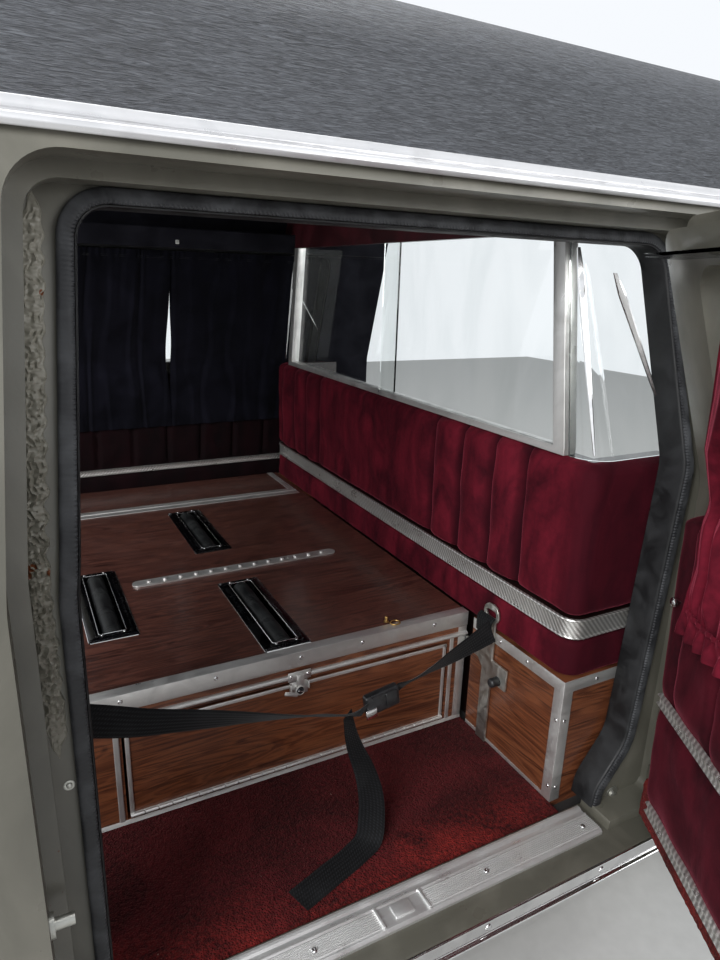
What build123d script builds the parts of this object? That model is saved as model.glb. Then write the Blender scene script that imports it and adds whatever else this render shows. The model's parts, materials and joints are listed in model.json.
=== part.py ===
# Side door load bay of a hearse: the body section around its side-loading doors.
# X runs forward, Y to the vehicle's left and Z up. The origin is the middle of the
# section's flat base, between the two outer crossmembers. All sizes are in millimetres.
import os

from build123d import *

os.makedirs("parts", exist_ok=True)

# Section and body side, as distances from the centreline
SECTION_REAR = -820
SECTION_FRONT = 660
FACE_OUT = 820
SKIN_OUT = FACE_OUT + 120
WALL_IN = FACE_OUT - 50
LINING_OUT = WALL_IN - 5
SILL_TOP = 150
SILL_OUT = SKIN_OUT - 20
SILL_IN = FACE_OUT - 25
SILL_FOOT_OUT = SILL_OUT - 75
SILL_TUCK_Z = 118
SILL_WALL = 6
FLANGE_THICK = 20
PILLAR_SET_BACK = 40
BELT_Z = 850
HEADER_Z = 1275
APERTURE_TOP = 1220
APERTURE_TOP_OUT = FACE_OUT - 120
BELT_BEND = 60
FIT = 0.3
SIDES = (("right", -1), ("left", 1))

# Door
DOOR_FRONT = 482
DOOR_REAR = -612
DOOR_BOTTOM = 160
DOOR_TOP = 1250
SHUT_GAP = 10
PAN_INSET = 20
STEP_OUT = FACE_OUT + 52
CARD_OUT = FACE_OUT - 10
CARD_THICK = 36
PAN_IN = CARD_OUT + CARD_THICK
PAN_DEEP = 38
SKIN_LAYER_IN = PAN_IN + PAN_DEEP
HINGE_INSET = 20
HINGE_OUT = SKIN_OUT - 14
HINGE_HEIGHTS = (330, 700)
HINGE_HALF = 20
HINGE_REACH = 36
ARM_THICK = 5
FOOT_LONG = 28
FOOT_THICK = 4
LEAF_THICK = 4
LEAF_WIDE = 32
POCKET_LONG = 18
POCKET_SKIN = 4
POCKET_HALF = 38
KNUCKLE_R = 8
PIN_R = 4
PIN_CLEARANCE = 0.06
DOOR_OPEN = {"right": 62, "left": 0}
WINDOW_BASE = 848
WINDOW_TOP = 1180
WINDOW_INSET = 66
WINDOW_FRONT_INSET = 110
WINDOW_REAR_LEAN = 34
GLASS_OUT = SKIN_OUT - 40
GLASS_THICK = 5
CARD_TOP = 805
CARD_INSET = 16
CURTAIN_THICK = 16
CURTAIN_IN = CARD_OUT - CURTAIN_THICK
CURTAIN_BASE = 690
CURTAIN_FOLD_Z = 930
CURTAIN_FOOT_INSET = 130
CURTAIN_HEAD_INSET = 292
RAIL_Z = 1188
RAIL_TALL = 10
CARPET_THICK = 8
KICK_TOP = 268
STRIP_TALL = 22
STRIP_THICK = 3
STRIP_HEIGHTS = (KICK_TOP, 470)
STRIKER_Z = 444
STRIKER_OUT = SKIN_OUT - 42
STRIKER_LONG = 26
STRIKER_R = 7
STRIKER_FLANGE = 5
STRIKER_FLANGE_R = 14
NOTCH_OUT = STRIKER_OUT + 18
NOTCH_LONG = 80
NOTCH_DEEP = 40
NOTCH_TALL = 36
HANDLE_X = -520
HANDLE_Z = 770
HANDLE_LONG = 150
HANDLE_TALL = 26
HANDLE_PROUD = 22
HANDLE_BEND = 7

# Partition behind the front seats
BULKHEAD_X = 280
DECK_FRONT = BULKHEAD_X - 2.6
BULKHEAD_FRONT = 500
BULKHEAD_OUT = LINING_OUT
BULKHEAD_BEND = 36
INNER_BEND = 2
PAD_THICK = 30
CORE_THICK = 24
LOWER_PAD_TOP = 508
BAND_TOP = 550
BAND_THICK = 3
PARTITION_TOP = 847
BOX_IN = 480
BOX_FRONT = BULKHEAD_FRONT - 25
BOX_TOP = 425
EDGING = 25
EDGING_THICK = 2
FOOT_STRIP = 8
CHANNEL_TALL = 14
CHANNEL_WIDE = 30
PANE_X = BULKHEAD_X + 28
PANE_STAGGER = 6
POST_FOOT = BULKHEAD_OUT - 100
POST_HEAD = BULKHEAD_OUT - 160
POST_WIDE = 30
HEADER_PANEL_BASE = 1237
PANE_THICK = 5
PANE_OVERLAP = 60
CORNER_GLASS_FRONT = BULKHEAD_FRONT - 22
CORNER_BEND_SHARE = 0.9
CORNER_GLASS = (  # height, outer face
    (PARTITION_TOP + FIT, BULKHEAD_OUT - 23), (HEADER_PANEL_BASE - FIT, BULKHEAD_OUT - 127),
)

# Seal, tread plate and rocker moulding
SEAL_WIDE = 20
SEAL_THICK = 12
TREAD_IN = SILL_IN + 11
TREAD_THICK = 10
TREAD_FRONT = 312
TREAD_REAR = -550
TREAD_SECTION = (  # outwards from the inner edge, height over the sill
    (0, 0), (0, 8), (2, 13), (11, 13), (14, 10), (20, 10), (22, 12), (25, 12), (27, 10),
    (64, 10), (68, 6), (68, 0),
)
TREAD_RIBS = 8
RIBS_START = 29
RIBS_END = 62
RIB_TALL = 2
MOULDING_TALL = 34
MOULDING_THICK = 4
BEAD_R = 5

# Floor and deck
FLOOR_TOP = 135
FLOOR_THICK = 6
SWAGES = 5
SWAGE_XS = (-300, 300)
SWAGE_LONG = 480
SWAGE_WIDE = 60
SWAGE_PITCH = 270
SWAGE_DEEP = 8
CARPET_TOP = 150
DECK_TOP = 428
DECK_THICK = 18
RISER_OUT = 460
BOARD = 18
HATCH_REAR = -480
HATCH_FRONT = 222
HATCH_BASE = 165
HATCH_TOP = 360
HATCH_GAP = 5
HATCH_THICK = 16
HATCH_EDGE = 8
LATCH_X = -140
LATCH_WIDE = 40
LATCH_ARM_WIDE = 32
LATCH_TALL = 26
LATCH_THICK = 4
LATCH_PROUD = 8
LATCH_RISE = 14
BARREL_R = 11
BARREL_DROP = 12
BARREL_PROUD = 16
EDGE_ANGLE_TALL = 34
RISER_STRIPS = (  # rear end x, base z, length, height
    (-500, 372, 776, 10), (232, 150, 10, 232), (-500, 150, 10, 232), (SECTION_REAR, CARPET_TOP, 1096, 9),
    (254, 150, 22, 245), (HATCH_REAR, CARPET_TOP, HATCH_FRONT - HATCH_REAR, HATCH_BASE - CARPET_TOP - FIT),
)
LID_HINGE_Y = 530
LID_OUT = LINING_OUT
LID_REAR = -690
LID_FRONT = 262
LID_GAP = 6
PIANO_R = 4
BEARERS = (  # middle x, left end y
    (LID_REAR, LID_OUT), (-330, LID_HINGE_Y - LID_GAP), (60, LID_HINGE_Y - LID_GAP), (LID_FRONT - 3, LID_OUT),
)

# Rollers and pin track
ROLLER_LONG = 340
ROLLER_WIDE = 100
RIM_LIP = 3
TRAY_LONG = ROLLER_LONG - 2 * RIM_LIP
TRAY_WIDE = ROLLER_WIDE - 2 * RIM_LIP
TRAY_DEEP = 44
TRAY_WALL = 3
RIM_PLATE = 1.2
RIM_TALL = 5
RIM_SLOPE_ANGLE = 68
OPENING_WIDE = 54
OPENING_GAP = 4
DRUM_R = 21
DRUM_AXIS_DROP = 12
AXLE_R = 4
AXLE_CLEARANCE = 0.06
DRUM_END_GAP = 18
DRUM_LONG = TRAY_LONG - 2 * TRAY_WALL - 2 * DRUM_END_GAP
ROLLERS_IN_LINE = 3
COLLAR_LONG = 10
COLLAR_DEEP = 1.5
ROLLER_EDGE_MARGIN = 25
FAR_ROLLER_START = 110
ROLLER_UNITS = (  # name, centre x, centre y
    ("near", -150, ROLLER_EDGE_MARGIN + ROLLER_LONG / 2 - RISER_OUT),
    ("far", -150, FAR_ROLLER_START + ROLLER_LONG / 2),
    ("rear", -460, -87),
)
TRACK_Y = -20
TRACK_REAR = -385
TRACK_FRONT = 149
TRACK_WIDE = 30
TRACK_THICK = 4
TRACK_PITCH = 38
TRACK_STUD_R = 5
TRACK_STUD_TALL = 4

# Roof
ROOF_THICK = 36
ROOF_SHOULDER_OUT = SKIN_OUT - 198
ROOF_SHOULDER_RISE = 203
ROOF_SHOULDER_Z = HEADER_Z + ROOF_SHOULDER_RISE
ROOF_CROWN_RISE = 102
ROOF_CROWN_Z = ROOF_SHOULDER_Z + ROOF_CROWN_RISE
ROOF_BEND = 120
LINING_INSET = 70
LINING_THICK = 8
BOW_LONG = 34
BOW_XS = (-780, -80, 620)
DRIP_TALL = 26

# Underbody
CROSSMEMBER_XS = (-600, 0, 600)
CROSSMEMBER_WIDE = 90
CROSSMEMBER_WALL = 6
BODY_BOLT_R = 8.5
BODY_BOLT_Y = 560

# Belt: webbing stations of x, y, z and the bearing of its width, None where it stands upright
WEBBING_TALL = 50
WEBBING_THICK = 3
BELT_STATIONS = (
    (-594, -716, 584, None), (-481, -682, 521, None), (-404, -663, 491, None), (-300, -638, 449, None),
    (-140, -612, 388, None), (-92, -605.6, 356.8, None), (-65.8, -602, 358.9, None),
)
BRACKET_STATIONS = (
    (11.9, -592, 365.1, None), (40, -588, 367.4, None), (136, -562, 386, None), (221, -550, 414, None),
    (258, -546, 439, None),
)
TAIL_STATIONS = (
    (-98, -612, 333, 45), (-98, -622, 322, 42), (-96, -634, 307, 36), (-90, -655, 280, 22),
    (-85, -674, 240, 0), (-87, -686, 192, -24), (-98, -698, 160, -44), (-134, -712, 152.5, -60),
    (-190, -731, 152.5, -69), (-262, -755, 152.5, -69),
)
BUCKLE_AT = (-27, -597, 362)
BUCKLE_ALONG = (1, 0, 0.08)
BUCKLE_LONG = 77
BUCKLE_TALL = 44
BUCKLE_THICK = 18
BUCKLE_CORNER = 7
BRACKET_Y = -545
BRACKET_WIDE = 32
BRACKET_TOP = 488
BRACKET_HEAD = 44
BRACKET_HEAD_WIDE = 50
BRACKET_SLOT = 16
BRACKET_SLOT_LONG = 33
BRACKET_THICK = 5
PLATE_Z = 335
PLATE_WIDE = 50
PLATE_TALL = 50
BRACKET_ARM_END = -467
BRACKET_ARM_TALL = 28
BRACKET_ARM_Z = 358
BRACKET_GUSSET = 16
KNOB_R = 9
KNOB_DROP = 12
KNOB_LONG = 18

LEAN = (FACE_OUT - APERTURE_TOP_OUT) / (APERTURE_TOP - BELT_Z)
SECTION_LONG = SECTION_FRONT - SECTION_REAR
MIDDLE_X = (SECTION_FRONT + SECTION_REAR) / 2
FLANGE_IN = FACE_OUT - FLANGE_THICK
CHANNEL_DEEP = FLOOR_TOP - FLOOR_THICK
ROOF_SIDE_LEAN = (SKIN_OUT - LEAN * (HEADER_Z - BELT_Z) - ROOF_SHOULDER_OUT) / (ROOF_SHOULDER_Z - HEADER_Z)
HINGE_X = DOOR_FRONT - HINGE_INSET
DRIP_PROFILE = (  # outward step from the roof's foot, height over it
    (0, 0), (9, -2), (11, 9), (4, 12), (6, 14), (1, DRIP_TALL), (-ROOF_SIDE_LEAN * DRIP_TALL, DRIP_TALL),
)
POCKET_REAR = HINGE_X - POCKET_LONG

# Corners in side view: x forward, z up, corner radius
APERTURE = (
    (322, SILL_TOP - 60, 0), (336, 205, 60), (400, 292, 90), (415, 500, 300), (437, 850, 300),
    (442, APERTURE_TOP, 42), (-512, APERTURE_TOP, 42), (-556, 800, 300), (-560, SILL_TOP - 60, 0),
)
DOOR = (
    (DOOR_FRONT, DOOR_BOTTOM, 30), (DOOR_FRONT, DOOR_TOP, 50),
    (DOOR_REAR + 40, DOOR_TOP, 50), (DOOR_REAR, BELT_Z, 200), (DOOR_REAR, DOOR_BOTTOM, 30),
)
WINDOW = (
    (DOOR_FRONT - WINDOW_FRONT_INSET, WINDOW_BASE, 30), (DOOR_FRONT - WINDOW_FRONT_INSET, WINDOW_TOP, 40),
    (DOOR_REAR + WINDOW_INSET + WINDOW_REAR_LEAN, WINDOW_TOP, 40), (DOOR_REAR + WINDOW_INSET, WINDOW_BASE, 30),
)

DRAWN_BACK = (
    (DOOR_FRONT - CURTAIN_FOOT_INSET, SILL_TOP, 0), (DOOR_FRONT - CURTAIN_FOOT_INSET, CURTAIN_FOLD_Z, 0),
    (DOOR_FRONT - CURTAIN_HEAD_INSET, HEADER_Z, 0), (DOOR_REAR, HEADER_Z, 0), (DOOR_REAR, SILL_TOP, 0),
)


def leaning(out, z):
    """Distance from the centreline at height z of a side surface that leans in above the belt."""
    return out - LEAN * max(0, z - BELT_Z)


def outline(corners, grow=0):
    """Closed outline in side view from corners of x, z and radius, grown by a margin."""
    with BuildSketch() as shape:
        with BuildLine():
            FilletPolyline(*[(x, z) for x, z, r in corners], radius=[r for x, z, r in corners], close=True)
        make_face()
        if grow:
            offset(amount=grow)
    return shape.sketch


def side_layer(sign, outer, inner):
    """Slab of the body side between two distances from the centreline, over the section's length."""
    points = [
        (sign * outer, SILL_TOP), (sign * outer, BELT_Z), (sign * leaning(outer, HEADER_Z), HEADER_Z),
        (sign * leaning(inner, HEADER_Z), HEADER_Z), (sign * inner, BELT_Z), (sign * inner, SILL_TOP),
    ]
    bends = [0, BELT_BEND + outer - WALL_IN, 0, 0, BELT_BEND + inner - WALL_IN, 0]
    with BuildPart() as slab:
        with BuildSketch(Plane.YZ.offset(SECTION_REAR)):
            with BuildLine():
                FilletPolyline(*points, radius=bends, close=True)
            make_face()
        extrude(amount=SECTION_LONG)
    return slab.part


def side_plate(sign, shape, outer, inner, base=SILL_TOP, top=HEADER_Z):
    """Plate that follows the body side between two distances, cut to an outline and to a band of height."""
    with BuildPart() as plate:
        add(side_layer(sign, outer, inner))
        with BuildSketch(Plane.XZ):
            add(shape)
            with Locations((MIDDLE_X, (base + top) / 2)):
                Rectangle(SECTION_LONG, top - base, mode=Mode.INTERSECT)
        extrude(amount=SKIN_OUT + 2 * PAN_INSET, both=True, mode=Mode.INTERSECT)
    return plate.part


def roof_profile(inset):
    """Section of the roof above the headers, drawn in from the outer skin by an inset."""
    foot = leaning(SKIN_OUT, HEADER_Z) - inset
    shoulder_out, shoulder_z = ROOF_SHOULDER_OUT - inset, ROOF_SHOULDER_Z - inset
    with BuildSketch() as section:
        with BuildLine():
            Polyline((-shoulder_out, shoulder_z), (-foot, HEADER_Z),
                     (foot, HEADER_Z), (shoulder_out, shoulder_z))
            ThreePointArc((shoulder_out, shoulder_z), (0, ROOF_CROWN_Z - inset), (-shoulder_out, shoulder_z))
        make_face()
        fillet(section.vertices().group_by(Axis.Y)[-1], ROOF_BEND - inset)
    return section.sketch


def bulkhead_ring(outer_inset, inner_inset):
    """Plan of a layer of the partition, wrapped round both corners, between two insets."""
    points, bends = [], []
    for inset, end in ((outer_inset, 1), (inner_inset, -1)):
        out, rear = BULKHEAD_OUT - inset, BULKHEAD_X + inset
        points += [(BULKHEAD_FRONT, -end * out), (rear, -end * out)]
        points += [(rear, end * out), (BULKHEAD_FRONT, end * out)]
        bend = max(BULKHEAD_BEND - inset, INNER_BEND)
        bends += [0, bend, bend, 0]
    with BuildSketch() as plan:
        with BuildLine():
            FilletPolyline(*points, radius=bends, close=True)
        make_face()
    return plan.sketch


def post_out(z):
    """Distance from the centreline of a divider post's middle at height z."""
    rise = (z - PARTITION_TOP) / (HEADER_PANEL_BASE - PARTITION_TOP)
    return POST_FOOT + (POST_HEAD - POST_FOOT) * rise


def post_corners(sign, outer, inner):
    """Corners in cross view of a divider post, or of the edge beside it, between two offsets."""
    base, top = PARTITION_TOP + FIT + CHANNEL_TALL, HEADER_PANEL_BASE - FIT
    return [(sign * (post_out(base) + outer), base), (sign * (post_out(top) + outer), top),
            (sign * (post_out(top) + inner), top), (sign * (post_out(base) + inner), base)]


def strap(stations):
    """Flat webbing lofted through stations of x, y, z and the bearing of its width, None where upright."""
    points = [Vector(x, y, z) for x, y, z, bearing in stations]
    with BuildPart() as band:
        for index, (x, y, z, bearing) in enumerate(stations):
            last = len(points) - 1
            along = (points[min(index + 1, last)] - points[max(index - 1, 0)]).normalized()
            width = Vector(0, 0, 1) if bearing is None else Vector(1, 0, 0).rotate(Axis.Z, bearing)
            across = (width - along * width.dot(along)).normalized()
            with BuildSketch(Plane((x, y, z), x_dir=across, z_dir=along)):
                Rectangle(WEBBING_TALL, WEBBING_THICK)
        loft(ruled=True)
    return band.part


def swung(piece, side, sign):
    """A door piece turned about its hinge from closed to where the door stands."""
    return piece.rotate(Axis((HINGE_X, sign * HINGE_OUT, 0), (0, 0, 1)), DOOR_OPEN[side])


# Crossmembers: open channels under the floor, the outer two drilled for the body bolts
with BuildPart() as crossmembers:
    with BuildSketch(Plane.XZ):
        with Locations(*[(x, CHANNEL_DEEP / 2) for x in CROSSMEMBER_XS]):
            Rectangle(CROSSMEMBER_WIDE, CHANNEL_DEEP)
        with Locations(*[(x, CHANNEL_DEEP / 2 + CROSSMEMBER_WALL) for x in CROSSMEMBER_XS]):
            Rectangle(CROSSMEMBER_WIDE - 2 * CROSSMEMBER_WALL, CHANNEL_DEEP, mode=Mode.SUBTRACT)
    extrude(amount=SILL_IN - FIT, both=True)
    bolt_xs = (CROSSMEMBER_XS[0], CROSSMEMBER_XS[-1])
    with Locations(*[(x, y, CROSSMEMBER_WALL) for x in bolt_xs for y in (-BODY_BOLT_Y, BODY_BOLT_Y)]):
        Hole(BODY_BOLT_R, depth=CROSSMEMBER_WALL)
crossmembers.part.label = "crossmembers"
export_step(crossmembers.part, "parts/crossmembers.step")

# Floor pan: sheet over the channels, stiffened by pressed swages between them
with BuildPart() as floor_pan:
    with BuildSketch(Plane.XY.offset(CHANNEL_DEEP)):
        with Locations((MIDDLE_X, 0)):
            Rectangle(SECTION_LONG, 2 * (SILL_IN - FIT))
    extrude(amount=FLOOR_THICK)
    with BuildSketch(Plane.XY.offset(CHANNEL_DEEP)):
        for x in SWAGE_XS:
            with Locations((x, 0)):
                with GridLocations(SWAGE_LONG, SWAGE_PITCH, 1, SWAGES):
                    SlotOverall(SWAGE_LONG, SWAGE_WIDE)
    extrude(amount=-SWAGE_DEEP)
floor_pan.part.label = "floor_pan"
export_step(floor_pan.part, "parts/floor_pan.step")

# Sills: hollow box sections that carry the body sides, tucked under at the foot
with BuildPart() as sills:
    for side, sign in SIDES:
        with BuildSketch(Plane.YZ.offset(SECTION_REAR)):
            with BuildLine():
                Polyline((sign * SILL_IN, 0), (sign * SILL_FOOT_OUT, 0), (sign * SILL_OUT, SILL_TUCK_Z),
                         (sign * SILL_OUT, SILL_TOP), (sign * SILL_IN, SILL_TOP), close=True)
            make_face()
            offset(amount=-SILL_WALL, mode=Mode.SUBTRACT)
        extrude(amount=SECTION_LONG)
sills.part.label = "sills"
export_step(sills.part, "parts/sills.step")

# Rocker mouldings: bright strips with a bead along the sills' outer faces
with BuildPart() as rocker_mouldings:
    for side, sign in SIDES:
        with BuildSketch(Plane.YZ.offset(SECTION_REAR)):
            with Locations((sign * (SILL_OUT + FIT + MOULDING_THICK / 2), SILL_TOP - MOULDING_TALL / 2)):
                Rectangle(MOULDING_THICK, MOULDING_TALL)
            with Locations((sign * (SILL_OUT + FIT + BEAD_R), SILL_TOP - MOULDING_TALL)):
                Circle(BEAD_R)
        extrude(amount=SECTION_LONG)
rocker_mouldings.part.label = "rocker_mouldings"
export_step(rocker_mouldings.part, "parts/rocker_mouldings.step")

# Tread plates: aluminium sections on the sills in the doorways, with a raised inner edge and fine ribs
with BuildPart() as tread_plates:
    for side, sign in SIDES:
        with BuildSketch(Plane.YZ.offset(TREAD_REAR)):
            with BuildLine():
                corners = [(sign * (TREAD_IN + out), SILL_TOP + rise) for out, rise in TREAD_SECTION]
                Polyline(*corners, close=True)
            make_face()
            rib_pitch = (RIBS_END - RIBS_START) / TREAD_RIBS
            ribs_out = sign * (TREAD_IN + (RIBS_START + RIBS_END) / 2)
            with Locations((ribs_out, SILL_TOP + TREAD_THICK + RIB_TALL / 2)):
                with GridLocations(rib_pitch, RIB_TALL, TREAD_RIBS, 1):
                    Rectangle(rib_pitch / 2, RIB_TALL)
        extrude(amount=TREAD_FRONT - TREAD_REAR)
tread_plates.part.label = "tread_plates"
export_step(tread_plates.part, "parts/tread_plates.step")

# Body sides: pillars and header in one pressing, stepped for the door and its pan
for side, sign in SIDES:
    with BuildPart() as side_frame:
        add(side_layer(sign, SKIN_OUT, WALL_IN))
        add(side_plate(sign, outline(DOOR, SHUT_GAP), SKIN_OUT + PAN_INSET, STEP_OUT), mode=Mode.SUBTRACT)
        add(side_plate(sign, outline(DOOR, SHUT_GAP - PAN_INSET), STEP_OUT + FIT, FACE_OUT),
            mode=Mode.SUBTRACT)
        add(side_plate(sign, outline(APERTURE), SKIN_OUT + PAN_INSET, FLANGE_IN - FIT), mode=Mode.SUBTRACT)
        add(side_plate(sign, outline(APERTURE, PILLAR_SET_BACK), FLANGE_IN, WALL_IN - FIT),
            mode=Mode.SUBTRACT)
    side_frame.part.label = f"side_frame_{side}"
    export_step(side_frame.part, f"parts/side_frame_{side}.step")

# Door seals: rings on the flanges round both apertures
with BuildPart() as seals:
    for side, sign in SIDES:
        with BuildSketch() as seal_ring:
            add(outline(APERTURE, SEAL_WIDE))
            add(outline(APERTURE), mode=Mode.SUBTRACT)
            add(outline(DOOR, SHUT_GAP - PAN_INSET - FIT), mode=Mode.INTERSECT)
        add(side_plate(sign, seal_ring.sketch, FACE_OUT + SEAL_THICK, FACE_OUT + FIT))
seals.part.label = "door_seals"
export_step(seals.part, "parts/door_seals.step")

# Door hardware on the body: striker bolts in the rear jambs; hinge feet on the front pillars,
# each with a cranked arm, a knuckle and its pin
with BuildPart() as hardware:
    for side, sign in SIDES:
        with Locations(Location((DOOR_REAR - SHUT_GAP, sign * STRIKER_OUT, STRIKER_Z), (0, 90, 0))):
            Cylinder(STRIKER_R, STRIKER_LONG, align=(Align.CENTER, Align.CENTER, Align.MIN))
            Cylinder(STRIKER_FLANGE_R, STRIKER_FLANGE, align=(Align.CENTER, Align.CENTER, Align.MIN))
        for height in HINGE_HEIGHTS:
            with Locations((HINGE_X, sign * HINGE_OUT, height)):
                Cylinder(KNUCKLE_R, 2 * HINGE_HALF)
                Cylinder(PIN_R, 2 * HINGE_REACH)
            with BuildSketch(Plane.XY.offset(height - HINGE_HALF)):
                with Locations((HINGE_X + ARM_THICK / 2, sign * (STEP_OUT + HINGE_OUT) / 2)):
                    Rectangle(ARM_THICK, HINGE_OUT - STEP_OUT - 2 * FIT)
                with Locations((HINGE_X + FOOT_LONG / 2, sign * (STEP_OUT + FIT + FOOT_THICK / 2))):
                    Rectangle(FOOT_LONG, FOOT_THICK)
            extrude(amount=2 * HINGE_HALF)
hardware.part.label = "door_hardware"
export_step(hardware.part, "parts/door_hardware.step")

# Doors, modelled closed and then turned to where they stand
for side, sign in SIDES:
    with BuildPart() as shell:
        add(side_plate(sign, outline(DOOR), SKIN_OUT, SKIN_LAYER_IN))
        add(side_plate(sign, outline(DOOR, -PAN_INSET), SKIN_LAYER_IN, PAN_IN))
        add(side_plate(sign, outline(WINDOW), SKIN_OUT + PAN_INSET, WALL_IN), mode=Mode.SUBTRACT)
        for height in HINGE_HEIGHTS:
            with Locations((POCKET_REAR, sign * (SKIN_OUT - POCKET_SKIN), height)):
                Box(DOOR_FRONT + PAN_INSET - POCKET_REAR, SKIN_OUT - POCKET_SKIN - PAN_IN + PAN_INSET,
                    2 * POCKET_HALF, align=(Align.MIN, Align.MAX if sign > 0 else Align.MIN, Align.CENTER),
                    mode=Mode.SUBTRACT)
        with Locations((DOOR_REAR, sign * NOTCH_OUT, STRIKER_Z)):
            Box(NOTCH_LONG, NOTCH_DEEP, NOTCH_TALL,
                align=(Align.CENTER, Align.MAX if sign > 0 else Align.MIN, Align.CENTER), mode=Mode.SUBTRACT)
    door_shell = swung(shell.part, side, sign)
    door_shell.label = f"door_shell_{side}"
    export_step(door_shell, f"parts/door_shell_{side}.step")

    with BuildPart() as pane:
        add(side_plate(sign, outline(WINDOW, -FIT), GLASS_OUT, GLASS_OUT - GLASS_THICK))
    door_glass = swung(pane.part, side, sign)
    door_glass.label = f"door_glass_{side}"
    export_step(door_glass, f"parts/door_glass_{side}.step")

    with BuildPart() as card:
        add(side_plate(sign, outline(APERTURE, -CARD_INSET), PAN_IN - FIT, CARD_OUT, KICK_TOP, CARD_TOP))
    door_card = swung(card.part, side, sign)
    door_card.label = f"door_card_{side}"
    export_step(door_card, f"parts/door_card_{side}.step")

    with BuildPart() as kick:
        kick_outline = outline(DOOR, -PAN_INSET - CARPET_THICK)
        add(side_plate(sign, kick_outline, PAN_IN - FIT, PAN_IN - CARPET_THICK, SILL_TOP, KICK_TOP - FIT))
    door_kick = swung(kick.part, side, sign)
    door_kick.label = f"door_kick_carpet_{side}"
    export_step(door_kick, f"parts/door_kick_carpet_{side}.step")

    with BuildPart() as trims:
        with Locations((HANDLE_X, sign * (SKIN_OUT + FIT), HANDLE_Z)):
            Box(HANDLE_LONG, HANDLE_PROUD, HANDLE_TALL,
                align=(Align.CENTER, Align.MIN if sign > 0 else Align.MAX, Align.CENTER))
        fillet(trims.edges().filter_by(Axis.Z), HANDLE_BEND)
        trim_outline = outline(APERTURE, -CARD_INSET - STRIP_THICK)
        for height in STRIP_HEIGHTS:
            add(side_plate(sign, trim_outline, CARD_OUT - FIT, CARD_OUT - STRIP_THICK,
                           height, height + STRIP_TALL))
        add(side_plate(sign, trim_outline, PAN_IN - FIT, CURTAIN_IN, RAIL_Z, RAIL_Z + RAIL_TALL))
    door_trims = swung(trims.part, side, sign)
    door_trims.label = f"door_trims_{side}"
    export_step(door_trims, f"parts/door_trims_{side}.step")

    with BuildSketch() as curtain_outline:
        add(trim_outline)
        if DOOR_OPEN[side]:
            add(outline(DRAWN_BACK), mode=Mode.INTERSECT)
    with BuildPart() as curtain:
        add(side_plate(sign, curtain_outline.sketch, CARD_OUT - FIT, CURTAIN_IN, CURTAIN_BASE, RAIL_Z - FIT))
    door_curtain = swung(curtain.part, side, sign)
    door_curtain.label = f"door_curtain_{side}"
    export_step(door_curtain, f"parts/door_curtain_{side}.step")

    with BuildPart() as leaves:
        for height in HINGE_HEIGHTS:
            with Locations((POCKET_REAR + FIT, sign * HINGE_OUT, height)):
                Box(LEAF_THICK, LEAF_WIDE, 2 * HINGE_REACH,
                    align=(Align.MIN, Align.MAX if sign > 0 else Align.MIN, Align.CENTER))
            for end in (-1, 1):
                knuckle_z = height + end * (HINGE_HALF + HINGE_REACH) / 2
                with Locations((HINGE_X, sign * HINGE_OUT, knuckle_z)):
                    Cylinder(KNUCKLE_R, HINGE_REACH - HINGE_HALF - 2 * FIT)
                with Locations((HINGE_X, sign * HINGE_OUT, knuckle_z)):
                    Box(HINGE_X - POCKET_REAR - FIT, KNUCKLE_R, HINGE_REACH - HINGE_HALF - 2 * FIT,
                        align=(Align.MAX, Align.MAX if sign > 0 else Align.MIN, Align.CENTER))
                with Locations((HINGE_X, sign * HINGE_OUT, knuckle_z)):
                    Cylinder(PIN_R + PIN_CLEARANCE, HINGE_REACH, mode=Mode.SUBTRACT)
    hinge_leaves = swung(leaves.part, side, sign)
    hinge_leaves.label = f"door_hinge_leaves_{side}"
    export_step(hinge_leaves, f"parts/door_hinge_leaves_{side}.step")

# Roof: a crowned shell with rounded shoulders, its inner bows and its lining
for name, outer_inset, inner_inset, spans in (
    ("roof_shell", 0, ROOF_THICK, ((SECTION_REAR, SECTION_LONG),)),
    ("roof_bows", ROOF_THICK + FIT, LINING_INSET - FIT, [(x - BOW_LONG / 2, BOW_LONG) for x in BOW_XS]),
    ("headliner", LINING_INSET, LINING_INSET + LINING_THICK, ((SECTION_REAR, SECTION_LONG),)),
):
    with BuildPart() as roof_piece:
        for start, long in spans:
            with BuildSketch(Plane.YZ.offset(start)):
                add(roof_profile(outer_inset))
                add(roof_profile(inner_inset), mode=Mode.SUBTRACT)
            extrude(amount=long)
    roof_piece.part.label = name
    export_step(roof_piece.part, f"parts/{name}.step")

# Drip mouldings: bright double bands along the foot of the roof
with BuildPart() as drip_mouldings:
    for side, sign in SIDES:
        foot = leaning(SKIN_OUT, HEADER_Z) + FIT
        with BuildSketch(Plane.YZ.offset(SECTION_REAR)):
            with BuildLine():
                Polyline(*[(sign * (foot + out), HEADER_Z + rise) for out, rise in DRIP_PROFILE], close=True)
            make_face()
        extrude(amount=SECTION_LONG)
drip_mouldings.part.label = "drip_mouldings"
export_step(drip_mouldings.part, "parts/drip_mouldings.step")

# Footwell carpets: the right one open to view, the left one between the bearers under the lid
with BuildPart() as carpets:
    with BuildSketch(Plane.XY.offset(FLOOR_TOP + FIT)):
        for sign, inner, rear, front in (
            (-1, RISER_OUT, SECTION_REAR, DECK_FRONT),
            (1, LID_HINGE_Y, BEARERS[0][0] + BOARD / 2 + FIT, BEARERS[-1][0] - BOARD / 2 - FIT),
        ):
            with Locations((rear, sign * inner)):
                Rectangle(front - rear, SILL_IN - inner - FIT,
                          align=(Align.MIN, Align.MIN if sign > 0 else Align.MAX))
    extrude(amount=CARPET_TOP - FLOOR_TOP - 2 * FIT)
carpets.part.label = "footwell_carpets"
export_step(carpets.part, "parts/footwell_carpets.step")

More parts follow.
